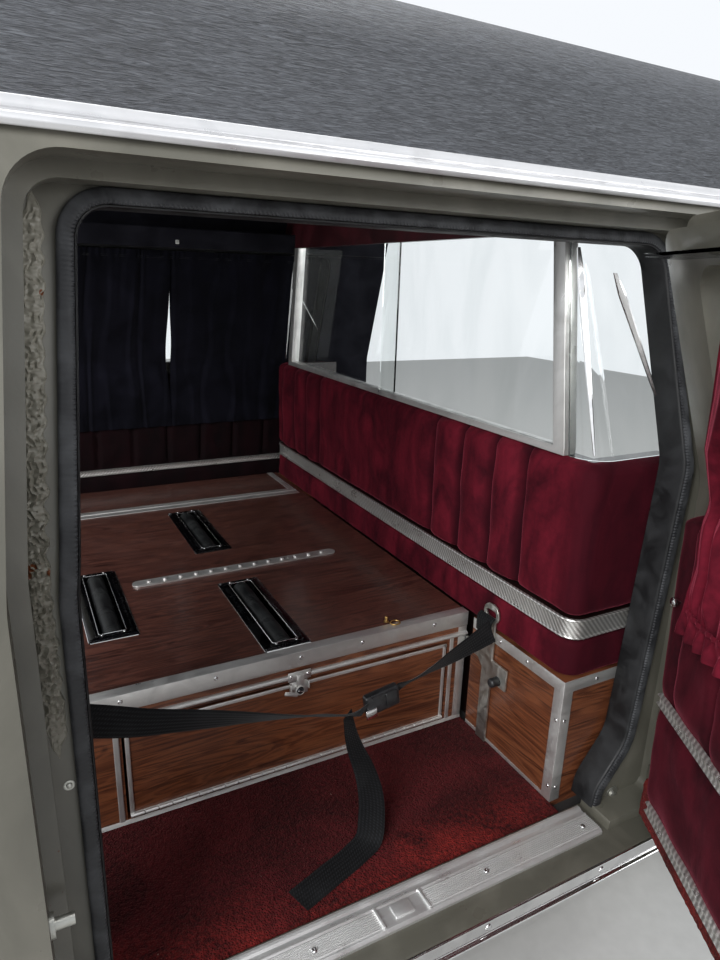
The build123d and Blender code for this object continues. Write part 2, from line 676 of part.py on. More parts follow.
# Deck board, with openings for the roller trays and for the lid over the left footwell
with BuildPart() as deck_board:
    with BuildSketch(Plane.XY.offset(DECK_TOP - DECK_THICK)):
        with Locations((SECTION_REAR, -RISER_OUT)):
            Rectangle(DECK_FRONT - SECTION_REAR, RISER_OUT + LID_OUT, align=Align.MIN)
        with Locations((LID_REAR - LID_GAP, LID_HINGE_Y - LID_GAP)):
            Rectangle(LID_FRONT - LID_REAR + 2 * LID_GAP, LID_OUT, align=Align.MIN, mode=Mode.SUBTRACT)
        with Locations(*[(x, y) for name, x, y in ROLLER_UNITS]):
            Rectangle(TRAY_WIDE + 2 * FIT, TRAY_LONG + 2 * FIT, mode=Mode.SUBTRACT)
    extrude(amount=DECK_THICK)
deck_board.part.label = "deck_board"
export_step(deck_board.part, "parts/deck_board.step")

# Bearers: boards on edge under the deck, two of them carrying the lid's ends
with BuildPart() as bearers:
    with BuildSketch(Plane.XY.offset(FLOOR_TOP + FIT)):
        for x, left_end in BEARERS:
            with Locations((x, -RISER_OUT + BOARD + LID_GAP)):
                Rectangle(BOARD, RISER_OUT - BOARD - LID_GAP + left_end, align=(Align.CENTER, Align.MIN))
        with Locations((BEARERS[0][0], LID_HINGE_Y - LID_GAP - BOARD)):
            Rectangle(BEARERS[-1][0] - BEARERS[0][0], BOARD, align=Align.MIN)
    extrude(amount=DECK_TOP - DECK_THICK - FLOOR_TOP - 2 * FIT)
bearers.part.label = "deck_bearers"
export_step(bearers.part, "parts/deck_bearers.step")

# Riser: the wood face of the footwell, open where the hatch closes it
with BuildPart() as riser:
    with BuildSketch(Plane.XZ.offset(RISER_OUT)):
        with Locations((SECTION_REAR, CARPET_TOP)):
            Rectangle(DECK_FRONT - SECTION_REAR, DECK_TOP - DECK_THICK - CARPET_TOP - FIT, align=Align.MIN)
        with Locations((HATCH_REAR - HATCH_GAP, HATCH_BASE - HATCH_GAP)):
            Rectangle(HATCH_FRONT - HATCH_REAR + 2 * HATCH_GAP, HATCH_TOP - HATCH_BASE + 2 * HATCH_GAP,
                      align=Align.MIN, mode=Mode.SUBTRACT)
    extrude(amount=-BOARD)
riser.part.label = "riser_panel"
export_step(riser.part, "parts/riser_panel.step")

# Riser trims: rail over the hatch, uprights, floor-edge strip and the hatch hinge's fixed leaf
with BuildPart() as riser_trims:
    with BuildSketch(Plane.XZ.offset(RISER_OUT + FIT)):
        for x, z, long, tall in RISER_STRIPS:
            with Locations((x, z)):
                Rectangle(long, tall, align=Align.MIN)
    extrude(amount=EDGING_THICK)
riser_trims.part.label = "riser_trims"
export_step(riser_trims.part, "parts/riser_trims.step")

# Deck trims: edge angle on the riser, the lid hinge's fixed leaf and the front cross strip
with BuildPart() as deck_trims:
    with BuildSketch(Plane.YZ.offset(SECTION_REAR)):
        with Locations((-RISER_OUT - FIT - EDGING_THICK, DECK_TOP + FIT + EDGING_THICK)):
            Rectangle(EDGING, EDGING_THICK, align=(Align.MIN, Align.MAX))
            Rectangle(EDGING_THICK, EDGE_ANGLE_TALL, align=(Align.MIN, Align.MAX))
    extrude(amount=DECK_FRONT - SECTION_REAR)
    with BuildSketch(Plane.XY.offset(DECK_TOP + FIT)):
        with Locations((LID_REAR, LID_HINGE_Y - LID_GAP)):
            Rectangle(LID_FRONT - LID_REAR, EDGING, align=(Align.MIN, Align.MAX))
    extrude(amount=EDGING_THICK)
deck_trims.part.label = "deck_trims"
export_step(deck_trims.part, "parts/deck_trims.step")

# Hatch in the riser, hinged along its foot
with BuildPart() as hatch:
    with BuildSketch(Plane.XZ.offset(RISER_OUT)):
        with Locations((HATCH_REAR, HATCH_BASE)):
            Rectangle(HATCH_FRONT - HATCH_REAR, HATCH_TOP - HATCH_BASE, align=Align.MIN)
    extrude(amount=-HATCH_THICK)
hatch.part.label = "hatch_panel"
export_step(hatch.part, "parts/hatch_panel.step")

# Hatch trim: edge frame, hinge barrel along the foot, and a latch with a turning knob that
# hooks over the rail
with BuildPart() as hatch_trim:
    with BuildSketch(Plane.XZ.offset(RISER_OUT + FIT)):
        with Locations((HATCH_REAR, HATCH_BASE)):
            Rectangle(HATCH_FRONT - HATCH_REAR, HATCH_TOP - HATCH_BASE, align=Align.MIN)
        with Locations((HATCH_REAR + HATCH_EDGE, HATCH_BASE + HATCH_EDGE)):
            Rectangle(HATCH_FRONT - HATCH_REAR - 2 * HATCH_EDGE, HATCH_TOP - HATCH_BASE - 2 * HATCH_EDGE,
                      align=Align.MIN, mode=Mode.SUBTRACT)
    extrude(amount=EDGING_THICK)
    with BuildSketch(Plane.YZ.offset(HATCH_REAR)):
        with Locations((-RISER_OUT - PIANO_R, HATCH_BASE + PIANO_R)):
            Circle(PIANO_R)
    extrude(amount=HATCH_FRONT - HATCH_REAR)
    with BuildSketch(Plane.XZ.offset(RISER_OUT + LATCH_PROUD)):
        with Locations((LATCH_X, HATCH_TOP + LATCH_RISE)):
            SlotOverall(LATCH_WIDE, LATCH_TALL)
    extrude(amount=LATCH_THICK)
    with BuildSketch(Plane.XZ.offset(RISER_OUT + FIT)):
        with Locations((LATCH_X, HATCH_TOP - HATCH_EDGE)):
            Rectangle(LATCH_ARM_WIDE, LATCH_TALL)
    extrude(amount=LATCH_PROUD + LATCH_THICK - FIT)
    with BuildSketch(Plane.XZ.offset(RISER_OUT)):
        with Locations((LATCH_X, HATCH_TOP + FIT)):
            Rectangle(LATCH_WIDE, LATCH_TALL, align=(Align.CENTER, Align.MIN))
    extrude(amount=LATCH_PROUD, mode=Mode.SUBTRACT)
    with BuildSketch(Plane.XZ.offset(RISER_OUT + FIT)):
        with Locations((LATCH_X, HATCH_TOP - BARREL_DROP)):
            Circle(BARREL_R)
    extrude(amount=BARREL_PROUD - FIT)
hatch_trim.part.label = "hatch_trim"
export_step(hatch_trim.part, "parts/hatch_trim.step")

# Lid over the left footwell, on a piano hinge
with BuildPart() as lid:
    with BuildSketch(Plane.XY.offset(DECK_TOP - DECK_THICK + FIT)):
        with Locations((LID_REAR, LID_HINGE_Y + LID_GAP)):
            Rectangle(LID_FRONT - LID_REAR, LID_OUT - LID_HINGE_Y - LID_GAP, align=Align.MIN)
    extrude(amount=DECK_THICK - FIT)
lid.part.label = "deck_lid"
export_step(lid.part, "parts/deck_lid.step")

with BuildPart() as lid_trims:
    with BuildSketch(Plane.XY.offset(DECK_TOP + FIT)):
        with Locations((LID_REAR, LID_HINGE_Y)):
            Rectangle(LID_FRONT - LID_REAR, EDGING, align=Align.MIN)
        with Locations((LID_FRONT, LID_HINGE_Y)):
            Rectangle(STRIP_TALL, LID_OUT - LID_HINGE_Y, align=(Align.MAX, Align.MIN))
    extrude(amount=EDGING_THICK)
    with BuildSketch(Plane.YZ.offset(LID_REAR)):
        with Locations((LID_HINGE_Y, DECK_TOP + FIT)):
            Circle(PIANO_R)
    extrude(amount=LID_FRONT - LID_REAR)
lid_trims.part.label = "deck_lid_trims"
export_step(lid_trims.part, "parts/deck_lid_trims.step")

# Roller trays: boxes let into the deck under a rim that slopes up to the drum's opening,
# with bores for the drums' axles
with BuildPart() as trays:
    for name, x, y in ROLLER_UNITS:
        with Locations((x, y, DECK_TOP + FIT)):
            Box(TRAY_WIDE, TRAY_LONG, TRAY_DEEP + FIT, align=(Align.CENTER, Align.CENTER, Align.MAX))
            Box(ROLLER_WIDE, ROLLER_LONG, RIM_PLATE, align=(Align.CENTER, Align.CENTER, Align.MIN))
        with BuildSketch(Plane.XY.offset(DECK_TOP + FIT + RIM_PLATE)):
            with Locations((x, y)):
                Rectangle(ROLLER_WIDE, ROLLER_LONG)
        extrude(amount=RIM_TALL, taper=RIM_SLOPE_ANGLE)
        with Locations((x, y, DECK_TOP + FIT)):
            Box(TRAY_WIDE - 2 * TRAY_WALL, TRAY_LONG - 2 * TRAY_WALL, TRAY_DEEP + FIT - TRAY_WALL,
                align=(Align.CENTER, Align.CENTER, Align.MAX), mode=Mode.SUBTRACT)
            Box(OPENING_WIDE, DRUM_LONG + 2 * OPENING_GAP, 2 * (RIM_PLATE + RIM_TALL), mode=Mode.SUBTRACT)
        with Locations(Location((x, y, DECK_TOP - DRUM_AXIS_DROP), (90, 0, 0))):
            Cylinder(AXLE_R + AXLE_CLEARANCE, ROLLER_LONG, mode=Mode.SUBTRACT)
trays.part.label = "roller_trays"
export_step(trays.part, "parts/roller_trays.step")

# Roller drums: rollers in line on one axle, with a sunk collar between each two
for name, x, y in ROLLER_UNITS:
    with BuildPart() as drum:
        with BuildSketch(Plane.XY.offset(DECK_TOP - DRUM_AXIS_DROP)):
            with Locations((x, y)):
                Rectangle(DRUM_R, DRUM_LONG, align=(Align.MIN, Align.CENTER))
                Rectangle(AXLE_R, TRAY_LONG, align=(Align.MIN, Align.CENTER))
            with Locations((x + DRUM_R, y)):
                with GridLocations(COLLAR_DEEP, DRUM_LONG / ROLLERS_IN_LINE, 1, ROLLERS_IN_LINE - 1):
                    Rectangle(2 * COLLAR_DEEP, COLLAR_LONG, mode=Mode.SUBTRACT)
        revolve(axis=Axis((x, y, DECK_TOP - DRUM_AXIS_DROP), (0, 1, 0)))
    drum.part.label = f"roller_drum_{name}"
    export_step(drum.part, f"parts/roller_drum_{name}.step")

# Pin track: a strip with a row of studs along the deck
with BuildPart() as pin_track:
    with BuildSketch(Plane.XY.offset(DECK_TOP + FIT)):
        with Locations(((TRACK_REAR + TRACK_FRONT) / 2, TRACK_Y)):
            SlotOverall(TRACK_FRONT - TRACK_REAR, TRACK_WIDE)
    extrude(amount=TRACK_THICK)
    studs = int((TRACK_FRONT - TRACK_REAR - TRACK_WIDE) / TRACK_PITCH)
    with BuildSketch(Plane.XY.offset(DECK_TOP + FIT + TRACK_THICK)):
        with Locations(((TRACK_REAR + TRACK_FRONT) / 2, TRACK_Y)):
            with GridLocations(TRACK_PITCH, TRACK_PITCH, studs, 1):
                Circle(TRACK_STUD_R)
    extrude(amount=TRACK_STUD_TALL)
pin_track.part.label = "pin_track"
export_step(pin_track.part, "parts/pin_track.step")

# Partition core: a board behind the front seats, wrapped round both corners
with BuildPart() as core:
    with BuildSketch(Plane.XY.offset(BOX_TOP + FIT)):
        add(bulkhead_ring(PAD_THICK + FIT, PAD_THICK + CORE_THICK))
    extrude(amount=PARTITION_TOP - BOX_TOP - FIT)
    with BuildSketch(Plane.XY.offset(LOWER_PAD_TOP + FIT)):
        add(bulkhead_ring(BAND_THICK, PAD_THICK + CORE_THICK))
    extrude(amount=BAND_TOP - LOWER_PAD_TOP - 2 * FIT)
    with BuildSketch(Plane.XY.offset(FLOOR_TOP + FIT)):
        with Locations((BULKHEAD_X + PAD_THICK + FIT, 0)):
            Rectangle(CORE_THICK - FIT, 2 * (BOX_IN - FIT), align=(Align.MIN, Align.CENTER))
    extrude(amount=BOX_TOP - FLOOR_TOP)
core.part.label = "partition_core"
export_step(core.part, "parts/partition_core.step")

# Partition velvet: two pads wrapped round both corners, with a bright band between them
for name, bands in (
    ("partition_velvet", (
        (BOX_TOP + FIT, LOWER_PAD_TOP, 0, PAD_THICK), (BAND_TOP + FIT, PARTITION_TOP, 0, PAD_THICK))),
    ("trim_band", ((LOWER_PAD_TOP + FIT, BAND_TOP, -FIT, BAND_THICK - FIT),)),
):
    with BuildPart() as layer:
        for base, top, out_start, out_end in bands:
            with BuildSketch(Plane.XY.offset(base)):
                add(bulkhead_ring(out_start, out_end))
            extrude(amount=top - base)
    layer.part.label = name
    export_step(layer.part, f"parts/{name}.step")

# Footwell boxes under the partition's corners, with angle edging on their corners, tops and feet
with BuildPart() as boxes:
    for side, sign in SIDES:
        with BuildSketch(Plane.XY.offset(FLOOR_TOP + FIT)):
            with Locations((BULKHEAD_X, sign * BOX_IN)):
                Rectangle(BOX_FRONT - BULKHEAD_X, BULKHEAD_OUT - BOX_IN,
                          align=(Align.MIN, Align.MIN if sign > 0 else Align.MAX))
            with Locations((BULKHEAD_X + BOARD, sign * (BOX_IN + BOARD))):
                Rectangle(BOX_FRONT, BULKHEAD_OUT - BOX_IN - 2 * BOARD,
                          align=(Align.MIN, Align.MIN if sign > 0 else Align.MAX), mode=Mode.SUBTRACT)
        extrude(amount=BOX_TOP - FLOOR_TOP - FIT - BOARD)
        with BuildSketch(Plane.XY.offset(BOX_TOP - BOARD)):
            with Locations((BULKHEAD_X, sign * BOX_IN)):
                Rectangle(BOX_FRONT - BULKHEAD_X, BULKHEAD_OUT - BOX_IN,
                          align=(Align.MIN, Align.MIN if sign > 0 else Align.MAX))
        extrude(amount=BOARD)
boxes.part.label = "footwell_boxes"
export_step(boxes.part, "parts/footwell_boxes.step")

with BuildPart() as edging:
    for side, sign in SIDES:
        near = Align.MAX if sign > 0 else Align.MIN
        for base, top, rear_leg, near_leg in (
            (CARPET_TOP, CARPET_TOP + FOOT_STRIP, BULKHEAD_OUT - BOX_IN, EDGING),
            (CARPET_TOP + FOOT_STRIP, BOX_TOP - EDGING, EDGING, EDGING),
            (BOX_TOP - EDGING, BOX_TOP, BULKHEAD_OUT - BOX_IN, BOX_FRONT - BULKHEAD_X),
        ):
            with BuildSketch(Plane.XY.offset(base)):
                with Locations((BULKHEAD_X - FIT - EDGING_THICK, sign * (BULKHEAD_OUT + FIT + EDGING_THICK))):
                    Rectangle(EDGING_THICK, rear_leg, align=(Align.MIN, near))
                    Rectangle(near_leg, EDGING_THICK, align=(Align.MIN, near))
            extrude(amount=top - base)
edging.part.label = "box_edging"
export_step(edging.part, "parts/box_edging.step")

# Divider: bottom channel, leaning posts, two overlapping panes, curved corner panes, header panel
with BuildPart() as glass_frame:
    with BuildSketch(Plane.XY.offset(PARTITION_TOP + FIT)):
        with Locations((PANE_X, 0)):
            Rectangle(CHANNEL_WIDE, 2 * post_out(PARTITION_TOP + FIT + CHANNEL_TALL) + POST_WIDE)
    extrude(amount=CHANNEL_TALL)
    with BuildSketch(Plane.YZ.offset(PANE_X - CHANNEL_WIDE / 2)):
        for side, sign in SIDES:
            with BuildLine():
                Polyline(*post_corners(sign, POST_WIDE / 2, -POST_WIDE / 2), close=True)
            make_face()
    extrude(amount=CHANNEL_WIDE)
glass_frame.part.label = "divider_frame"
export_step(glass_frame.part, "parts/divider_frame.step")

with BuildPart() as divider_panes:
    for side, sign in SIDES:
        with BuildSketch(Plane.YZ.offset(PANE_X + sign * PANE_STAGGER - PANE_THICK / 2)):
            with BuildLine():
                foot, head = post_corners(sign, -POST_WIDE / 2 - FIT, 0)[:2]
                Polyline(foot, head, (-sign * PANE_OVERLAP / 2, head[1]), (-sign * PANE_OVERLAP / 2, foot[1]),
                         close=True)
            make_face()
        extrude(amount=PANE_THICK)
divider_panes.part.label = "divider_panes"
export_step(divider_panes.part, "parts/divider_panes.step")

with BuildPart() as corner_glass:
    for side, sign in SIDES:
        for height, out in CORNER_GLASS:
            edge = post_out(height) + POST_WIDE / 2 + FIT
            near, rear = sign * out, PANE_X - PANE_THICK
            bend = CORNER_BEND_SHARE * (out - edge)
            with BuildSketch(Plane.XY.offset(height)):
                with BuildLine():
                    FilletPolyline(
                        (rear, sign * edge), (rear, near), (CORNER_GLASS_FRONT, near),
                        (CORNER_GLASS_FRONT, near - sign * PANE_THICK),
                        (rear + PANE_THICK, near - sign * PANE_THICK), (rear + PANE_THICK, sign * edge),
                        radius=[0, bend, 0, 0, bend - PANE_THICK, 0], close=True)
                make_face()
        loft()
corner_glass.part.label = "corner_glasses"
export_step(corner_glass.part, "parts/corner_glasses.step")

with BuildPart() as header_panel:
    with BuildSketch(Plane.YZ.offset(PANE_X - BOARD / 2)):
        add(roof_profile(LINING_INSET + LINING_THICK + FIT))
        with Locations((0, HEADER_PANEL_BASE)):
            Rectangle(2 * (leaning(WALL_IN, HEADER_Z) - FIT), HEADER_Z - HEADER_PANEL_BASE + FIT,
                      align=(Align.CENTER, Align.MIN))
    extrude(amount=BOARD)
header_panel.part.label = "header_panel"
export_step(header_panel.part, "parts/header_panel.step")

# Belt bracket: an upright strap with a slotted head, an arm towards the riser and a plate with a knob
with BuildPart() as bracket:
    upright_x = BULKHEAD_X - EDGING_THICK - 2 * FIT
    with BuildSketch(Plane.YZ.offset(upright_x - BRACKET_THICK)):
        with Locations((BRACKET_Y, CARPET_TOP + FIT)):
            Rectangle(BRACKET_WIDE, BRACKET_TOP - CARPET_TOP - BRACKET_HEAD / 2 - FIT,
                      align=(Align.CENTER, Align.MIN))
        with Locations((BRACKET_Y, BRACKET_TOP - BRACKET_HEAD / 2)):
            SlotOverall(BRACKET_HEAD_WIDE, BRACKET_HEAD)
            SlotOverall(BRACKET_SLOT_LONG, BRACKET_SLOT, mode=Mode.SUBTRACT)
        with Locations((BRACKET_Y - BRACKET_WIDE / 2, PLATE_Z)):
            Rectangle(PLATE_WIDE, PLATE_TALL, align=(Align.MAX, Align.CENTER))
        arm_foot = BRACKET_ARM_Z - BRACKET_ARM_TALL / 2
        with BuildLine():
            Polyline((BRACKET_Y, arm_foot + BRACKET_ARM_TALL), (BRACKET_ARM_END, arm_foot + BRACKET_ARM_TALL),
                     (BRACKET_ARM_END, arm_foot), (BRACKET_Y + BRACKET_WIDE / 2 + BRACKET_GUSSET, arm_foot),
                     (BRACKET_Y + BRACKET_WIDE / 2, arm_foot - BRACKET_GUSSET),
                     (BRACKET_Y, arm_foot - BRACKET_GUSSET), close=True)
        make_face()
    extrude(amount=BRACKET_THICK)
    with BuildSketch(Plane.YZ.offset(upright_x - BRACKET_THICK)):
        with Locations((BRACKET_Y - BRACKET_WIDE / 2 - PLATE_WIDE / 2, PLATE_Z - KNOB_DROP)):
            Circle(KNOB_R)
    extrude(amount=-KNOB_LONG)
bracket.part.label = "belt_bracket"
export_step(bracket.part, "parts/belt_bracket.step")

# Belt: flat webbing from the rear pillar to the buckle, on to the bracket, and its free tail
with BuildPart() as webbing:
    for stations in (BELT_STATIONS, BRACKET_STATIONS, TAIL_STATIONS):
        add(strap(stations))
webbing.part.label = "belt_webbing"
export_step(webbing.part, "parts/belt_webbing.step")

with BuildPart() as buckle:
    with BuildSketch(Plane(BUCKLE_AT, x_dir=BUCKLE_ALONG, z_dir=(0, -1, 0))):
        RectangleRounded(BUCKLE_LONG, BUCKLE_TALL, BUCKLE_CORNER)
    extrude(amount=BUCKLE_THICK / 2, both=True)
buckle.part.label = "belt_buckle"
export_step(buckle.part, "parts/belt_buckle.step")
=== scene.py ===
"""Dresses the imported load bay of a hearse: finishes, soft goods, small fittings, lights and camera."""
import json
import logging
import math
from collections.abc import Callable, Sequence
from dataclasses import dataclass
from enum import Enum

import bmesh
import bpy
import numpy as np
from mathutils import Matrix

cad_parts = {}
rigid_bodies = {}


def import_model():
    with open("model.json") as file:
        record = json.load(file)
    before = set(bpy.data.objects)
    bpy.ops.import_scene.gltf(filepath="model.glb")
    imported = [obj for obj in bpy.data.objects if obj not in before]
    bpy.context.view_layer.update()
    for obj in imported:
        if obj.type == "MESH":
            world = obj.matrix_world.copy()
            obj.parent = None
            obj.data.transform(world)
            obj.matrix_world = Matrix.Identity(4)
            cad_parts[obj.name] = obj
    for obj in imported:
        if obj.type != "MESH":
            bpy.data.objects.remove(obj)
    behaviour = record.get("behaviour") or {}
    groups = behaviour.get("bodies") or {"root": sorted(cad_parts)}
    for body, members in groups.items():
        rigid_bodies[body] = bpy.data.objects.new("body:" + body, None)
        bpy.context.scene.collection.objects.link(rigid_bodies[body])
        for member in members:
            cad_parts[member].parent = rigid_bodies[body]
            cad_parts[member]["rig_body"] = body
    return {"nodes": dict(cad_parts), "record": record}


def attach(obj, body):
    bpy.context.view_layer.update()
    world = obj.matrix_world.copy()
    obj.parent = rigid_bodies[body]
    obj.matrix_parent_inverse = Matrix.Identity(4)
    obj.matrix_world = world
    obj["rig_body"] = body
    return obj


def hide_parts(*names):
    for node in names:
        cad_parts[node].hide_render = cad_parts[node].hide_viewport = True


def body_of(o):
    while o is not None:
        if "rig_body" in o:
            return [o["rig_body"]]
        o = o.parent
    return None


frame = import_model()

LOG = logging.getLogger("load_bay")
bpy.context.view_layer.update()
Points = np.ndarray
Socket = bpy.types.NodeSocket
Colour = tuple[float, float, float]
Corners = Sequence[tuple[float, float, float]]
Surface = Callable[..., Points]
ALONG, ACROSS, UP = np.eye(3)
MERGE = 1e-5
SHARP_EDGE = 28.0
FLAT_EDGE = 0.6
WAVES_SUMMED = 9


# Shapes


def pairs(*numbers: float) -> Points:
    """Numbers taken two by two, as the rows of a table."""
    return np.array(numbers, float).reshape(-1, 2)


def unit(vectors: Points) -> Points:
    """Vectors, in the last axis, made one long."""
    return vectors / np.linalg.norm(vectors, axis=-1, keepdims=True)


def travelled(line: Points) -> Points:
    """The distance travelled along a line at each of its points."""
    return np.concatenate([[0], np.cumsum(np.linalg.norm(np.diff(line, axis=0), axis=1))])


def circle(count: int, start: float = 0) -> Points:
    """Angles evenly round a circle, from a share of a step."""
    return (np.arange(count) + start) / count * 2 * np.pi


def linked(name: str, data: bpy.types.ID) -> bpy.types.Object:
    """An object in the scene.

    Args:
        name: Its name.
        data: Its mesh, lamp or camera.

    Returns:
        The object.
    """
    item = bpy.data.objects.new(name, data)
    bpy.context.scene.collection.objects.link(item)
    return item


class Mesher:
    """Gathers surfaces worked out as grids of points and makes one mesh object of them."""

    def __init__(self) -> None:
        """Starts with no surface."""
        self.points: list[Points] = []
        self.faces: list[list[int]] = []
        self.uvs: list[Points] = []
        self.count = 0

    def grid(self, points: Points, around: bool = False, along: bool = False, caps: bool = False) -> "Mesher":
        """Adds a grid of quads.

        Formula: the quad (i, j) joins points[i, j] to its neighbours; its UV is the mean distance
        travelled along each of the two directions, in metres.

        Args:
            points: Positions, shape (n, m, 3).
            around: Joins the last column to the first.
            along: Joins the last row to the first.
            caps: Closes the first and the last row with one face each.

        Returns:
            The mesher, so that calls can be chained.
        """
        n, m = points.shape[:2]
        index = np.arange(n * m).reshape(n, m) + self.count
        place = points
        if around:
            index = np.concatenate([index, index[:, :1]], 1)
            place = np.concatenate([place, place[:, :1]], 1)
        if along:
            index = np.concatenate([index, index[:1]], 0)
            place = np.concatenate([place, place[:1]], 0)
        steps_u = np.linalg.norm(np.diff(place, axis=0), axis=2).mean(1)
        steps_v = np.linalg.norm(np.diff(place, axis=1), axis=2).mean(0)
        u = np.concatenate([[0], np.cumsum(steps_u)])
        v = np.concatenate([[0], np.cumsum(steps_v)])
        chart = np.stack(np.meshgrid(u, v, indexing="ij"), -1)

        def corners(values: Points) -> Points:
            """The four corner values of each quad, in order round it."""
            return np.stack([values[:-1, :-1], values[1:, :-1], values[1:, 1:], values[:-1, 1:]], 2)

        self.faces += corners(index).reshape(-1, 4).tolist()
        self.uvs.append(corners(chart).reshape(-1, 2))
        if caps:
            for row in (index[0, :m], index[-1, :m][::-1]):
                self.faces.append(row.tolist())
                self.uvs.append(np.zeros((len(row), 2)))
        self.points.append(points.reshape(-1, 3))
        self.count += n * m
        return self

    def solid(self, points: Points) -> "Mesher":
        """Adds a grid joined round itself, with a face over each end."""
        return self.grid(points, around=True, caps=True)

    def copies(self, shapes: Points) -> "Mesher":
        """Adds many closed grids of one form.

        Args:
            shapes: Positions, shape (copies, n, m, 3).

        Returns:
            The mesher.
        """
        for shape in shapes:
            self.solid(shape)
        return self

    def build(self, name: str, body: str, finish: "Finish", slot: str = "", replaces: Sequence[str] = (),
              smooth: float = 40.0) -> bpy.types.Object:
        """Makes the mesh object, closes its seams, turns its faces outwards and dresses it.

        Args:
            name: The piece's name.
            body: The CAD body that it rides on.
            finish: Its finish.
            slot: The record's material slot.
            replaces: CAD nodes that it stands for.
            smooth: Edges sharper than this angle in degrees stay sharp.

        Returns:
            The object.
        """
        mesh = bpy.data.meshes.new(name)
        mesh.from_pydata(np.concatenate(self.points).tolist(), [], self.faces)
        layer = mesh.uv_layers.new(name="UVMap")
        layer.data.foreach_set("uv", np.concatenate(self.uvs).astype(np.float32).ravel())
        tidy(mesh)
        return place(mesh, name, body, finish, slot, replaces, smooth)


def tidy(mesh: bpy.types.Mesh) -> None:
    """Joins points nearer than MERGE metres and turns the faces outwards.

    Args:
        mesh: The mesh that is changed.
    """
    work = bmesh.new()
    work.from_mesh(mesh)
    bmesh.ops.remove_doubles(work, verts=work.verts, dist=MERGE)
    bmesh.ops.recalc_face_normals(work, faces=work.faces)
    work.to_mesh(mesh)
    work.free()


def place(mesh: bpy.types.Mesh, name: str, body: str, finish: "Finish", slot: str,
          replaces: Sequence[str], smooth: float) -> bpy.types.Object:
    """Makes an object of a mesh, dresses it and lets it ride on its body.

    Args:
        mesh: The finished mesh, in the row frame.
        name: The piece's name.
        body: The CAD body that it rides on.
        finish: Its finish.
        slot: The record's material slot, not used.
        replaces: CAD nodes that it stands for.
        smooth: Edges sharper than this angle in degrees stay sharp.

    Returns:
        The object.
    """
    mesh.polygons.foreach_set("use_smooth", np.ones(len(mesh.polygons), bool))
    mesh.set_sharp_from_angle(angle=math.radians(smooth))
    piece = linked(name, mesh)
    mesh.materials.clear()
    mesh.materials.append(finish.material())
    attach(piece, body)
    if replaces:
        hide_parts(*replaces)
    LOG.info("%s: %d faces on %s", name, len(mesh.polygons), body)
    return piece


def softened(node: str, width: float, finish: "Finish") -> bpy.types.Object:
    """A copy of a CAD node, its edges sharper than SHARP_EDGE degrees rounded, which stands for it.

    Edges flatter than FLAT_EDGE degrees are dissolved first.

    Args:
        node: The CAD node.
        width: The rounding's width in metres.
        finish: Its finish.

    Returns:
        The object.
    """
    source = frame["nodes"][node]
    mesh = source.data.copy()
    work = bmesh.new()
    work.from_mesh(mesh)
    bmesh.ops.remove_doubles(work, verts=work.verts, dist=2 * MERGE)
    bmesh.ops.dissolve_limit(work, angle_limit=math.radians(FLAT_EDGE), verts=work.verts, edges=work.edges)
    least = math.radians(SHARP_EDGE)
    edges = [e for e in work.edges if len(e.link_faces) == 2 and e.calc_face_angle(0) > least]
    bmesh.ops.bevel(work, geom=edges, offset=width, segments=2, profile=0.6, affect="EDGES",
                    clamp_overlap=True)
    work.to_mesh(mesh)
    work.free()
    body = body_of(source)[0]
    return place(mesh, f"{node}.soft", body, finish, SLOTS[node], (node,), 50.0)


def resampled(line: Points, step: float) -> Points:
    """Points evenly spaced along a line, by interpolating each coordinate over distance travelled.

    Args:
        line: The line's points, one in each row.
        step: The wanted spacing.

    Returns:
        The new points.
    """
    travel = travelled(line)
    keep = np.concatenate([[True], np.diff(travel) > 1e-9])
    wanted = np.linspace(0, travel[-1], max(2, int(travel[-1] / step) + 1))
    return np.stack([np.interp(wanted, travel[keep], line[keep, k]) for k in range(line.shape[1])], 1)


def rounded(corners: Corners, closed: bool = False, step: float = 0.006) -> Points:
    """A line with rounded corners.

    Formula: at a corner of half angle h, the arc of radius r starts r / tan(h) before it and its centre
    lies r / sin(h) from it on the bisector; the arc turns evenly from one tangent point to the other.

    Args:
        corners: x, y and radius of each corner, in metres.
        closed: Joins the last corner to the first.
        step: The spacing of the points.

    Returns:
        Points, shape (n, 2).
    """
    spots = np.array([c[:2] for c in corners])
    line = []
    for k, (*_, radius) in enumerate(corners):
        if radius == 0 or (not closed and k in (0, len(corners) - 1)):
            line.append(spots[k][None])
            continue
        back = spots[k - 1] - spots[k]
        ahead = spots[(k + 1) % len(spots)] - spots[k]
        back, ahead = back / np.linalg.norm(back), ahead / np.linalg.norm(ahead)
        half = math.acos(float(np.clip(back @ ahead, -1, 1))) / 2
        middle = spots[k] + (back + ahead) / np.linalg.norm(back + ahead) * radius / math.sin(half)
        first = spots[k] + back * radius / math.tan(half) - middle
        last = spots[k] + ahead * radius / math.tan(half) - middle
        start = math.atan2(first[1], first[0])
        turn = (math.atan2(last[1], last[0]) - start + math.pi) % (2 * math.pi) - math.pi
        angles = start + turn * np.linspace(0, 1, max(3, int(radius * abs(turn) / step * 2)))
        line.append(middle + radius * np.stack([np.cos(angles), np.sin(angles)], 1))
    if closed:
        line.append(line[0][:1])
    return resampled(np.concatenate(line), step)


def normals_of(line: Points) -> Points:
    """Unit normals of a plane line, to the right of its direction of travel."""
    run = unit(np.gradient(line, axis=0))
    return np.stack([run[:, 1], -run[:, 0]], 1)


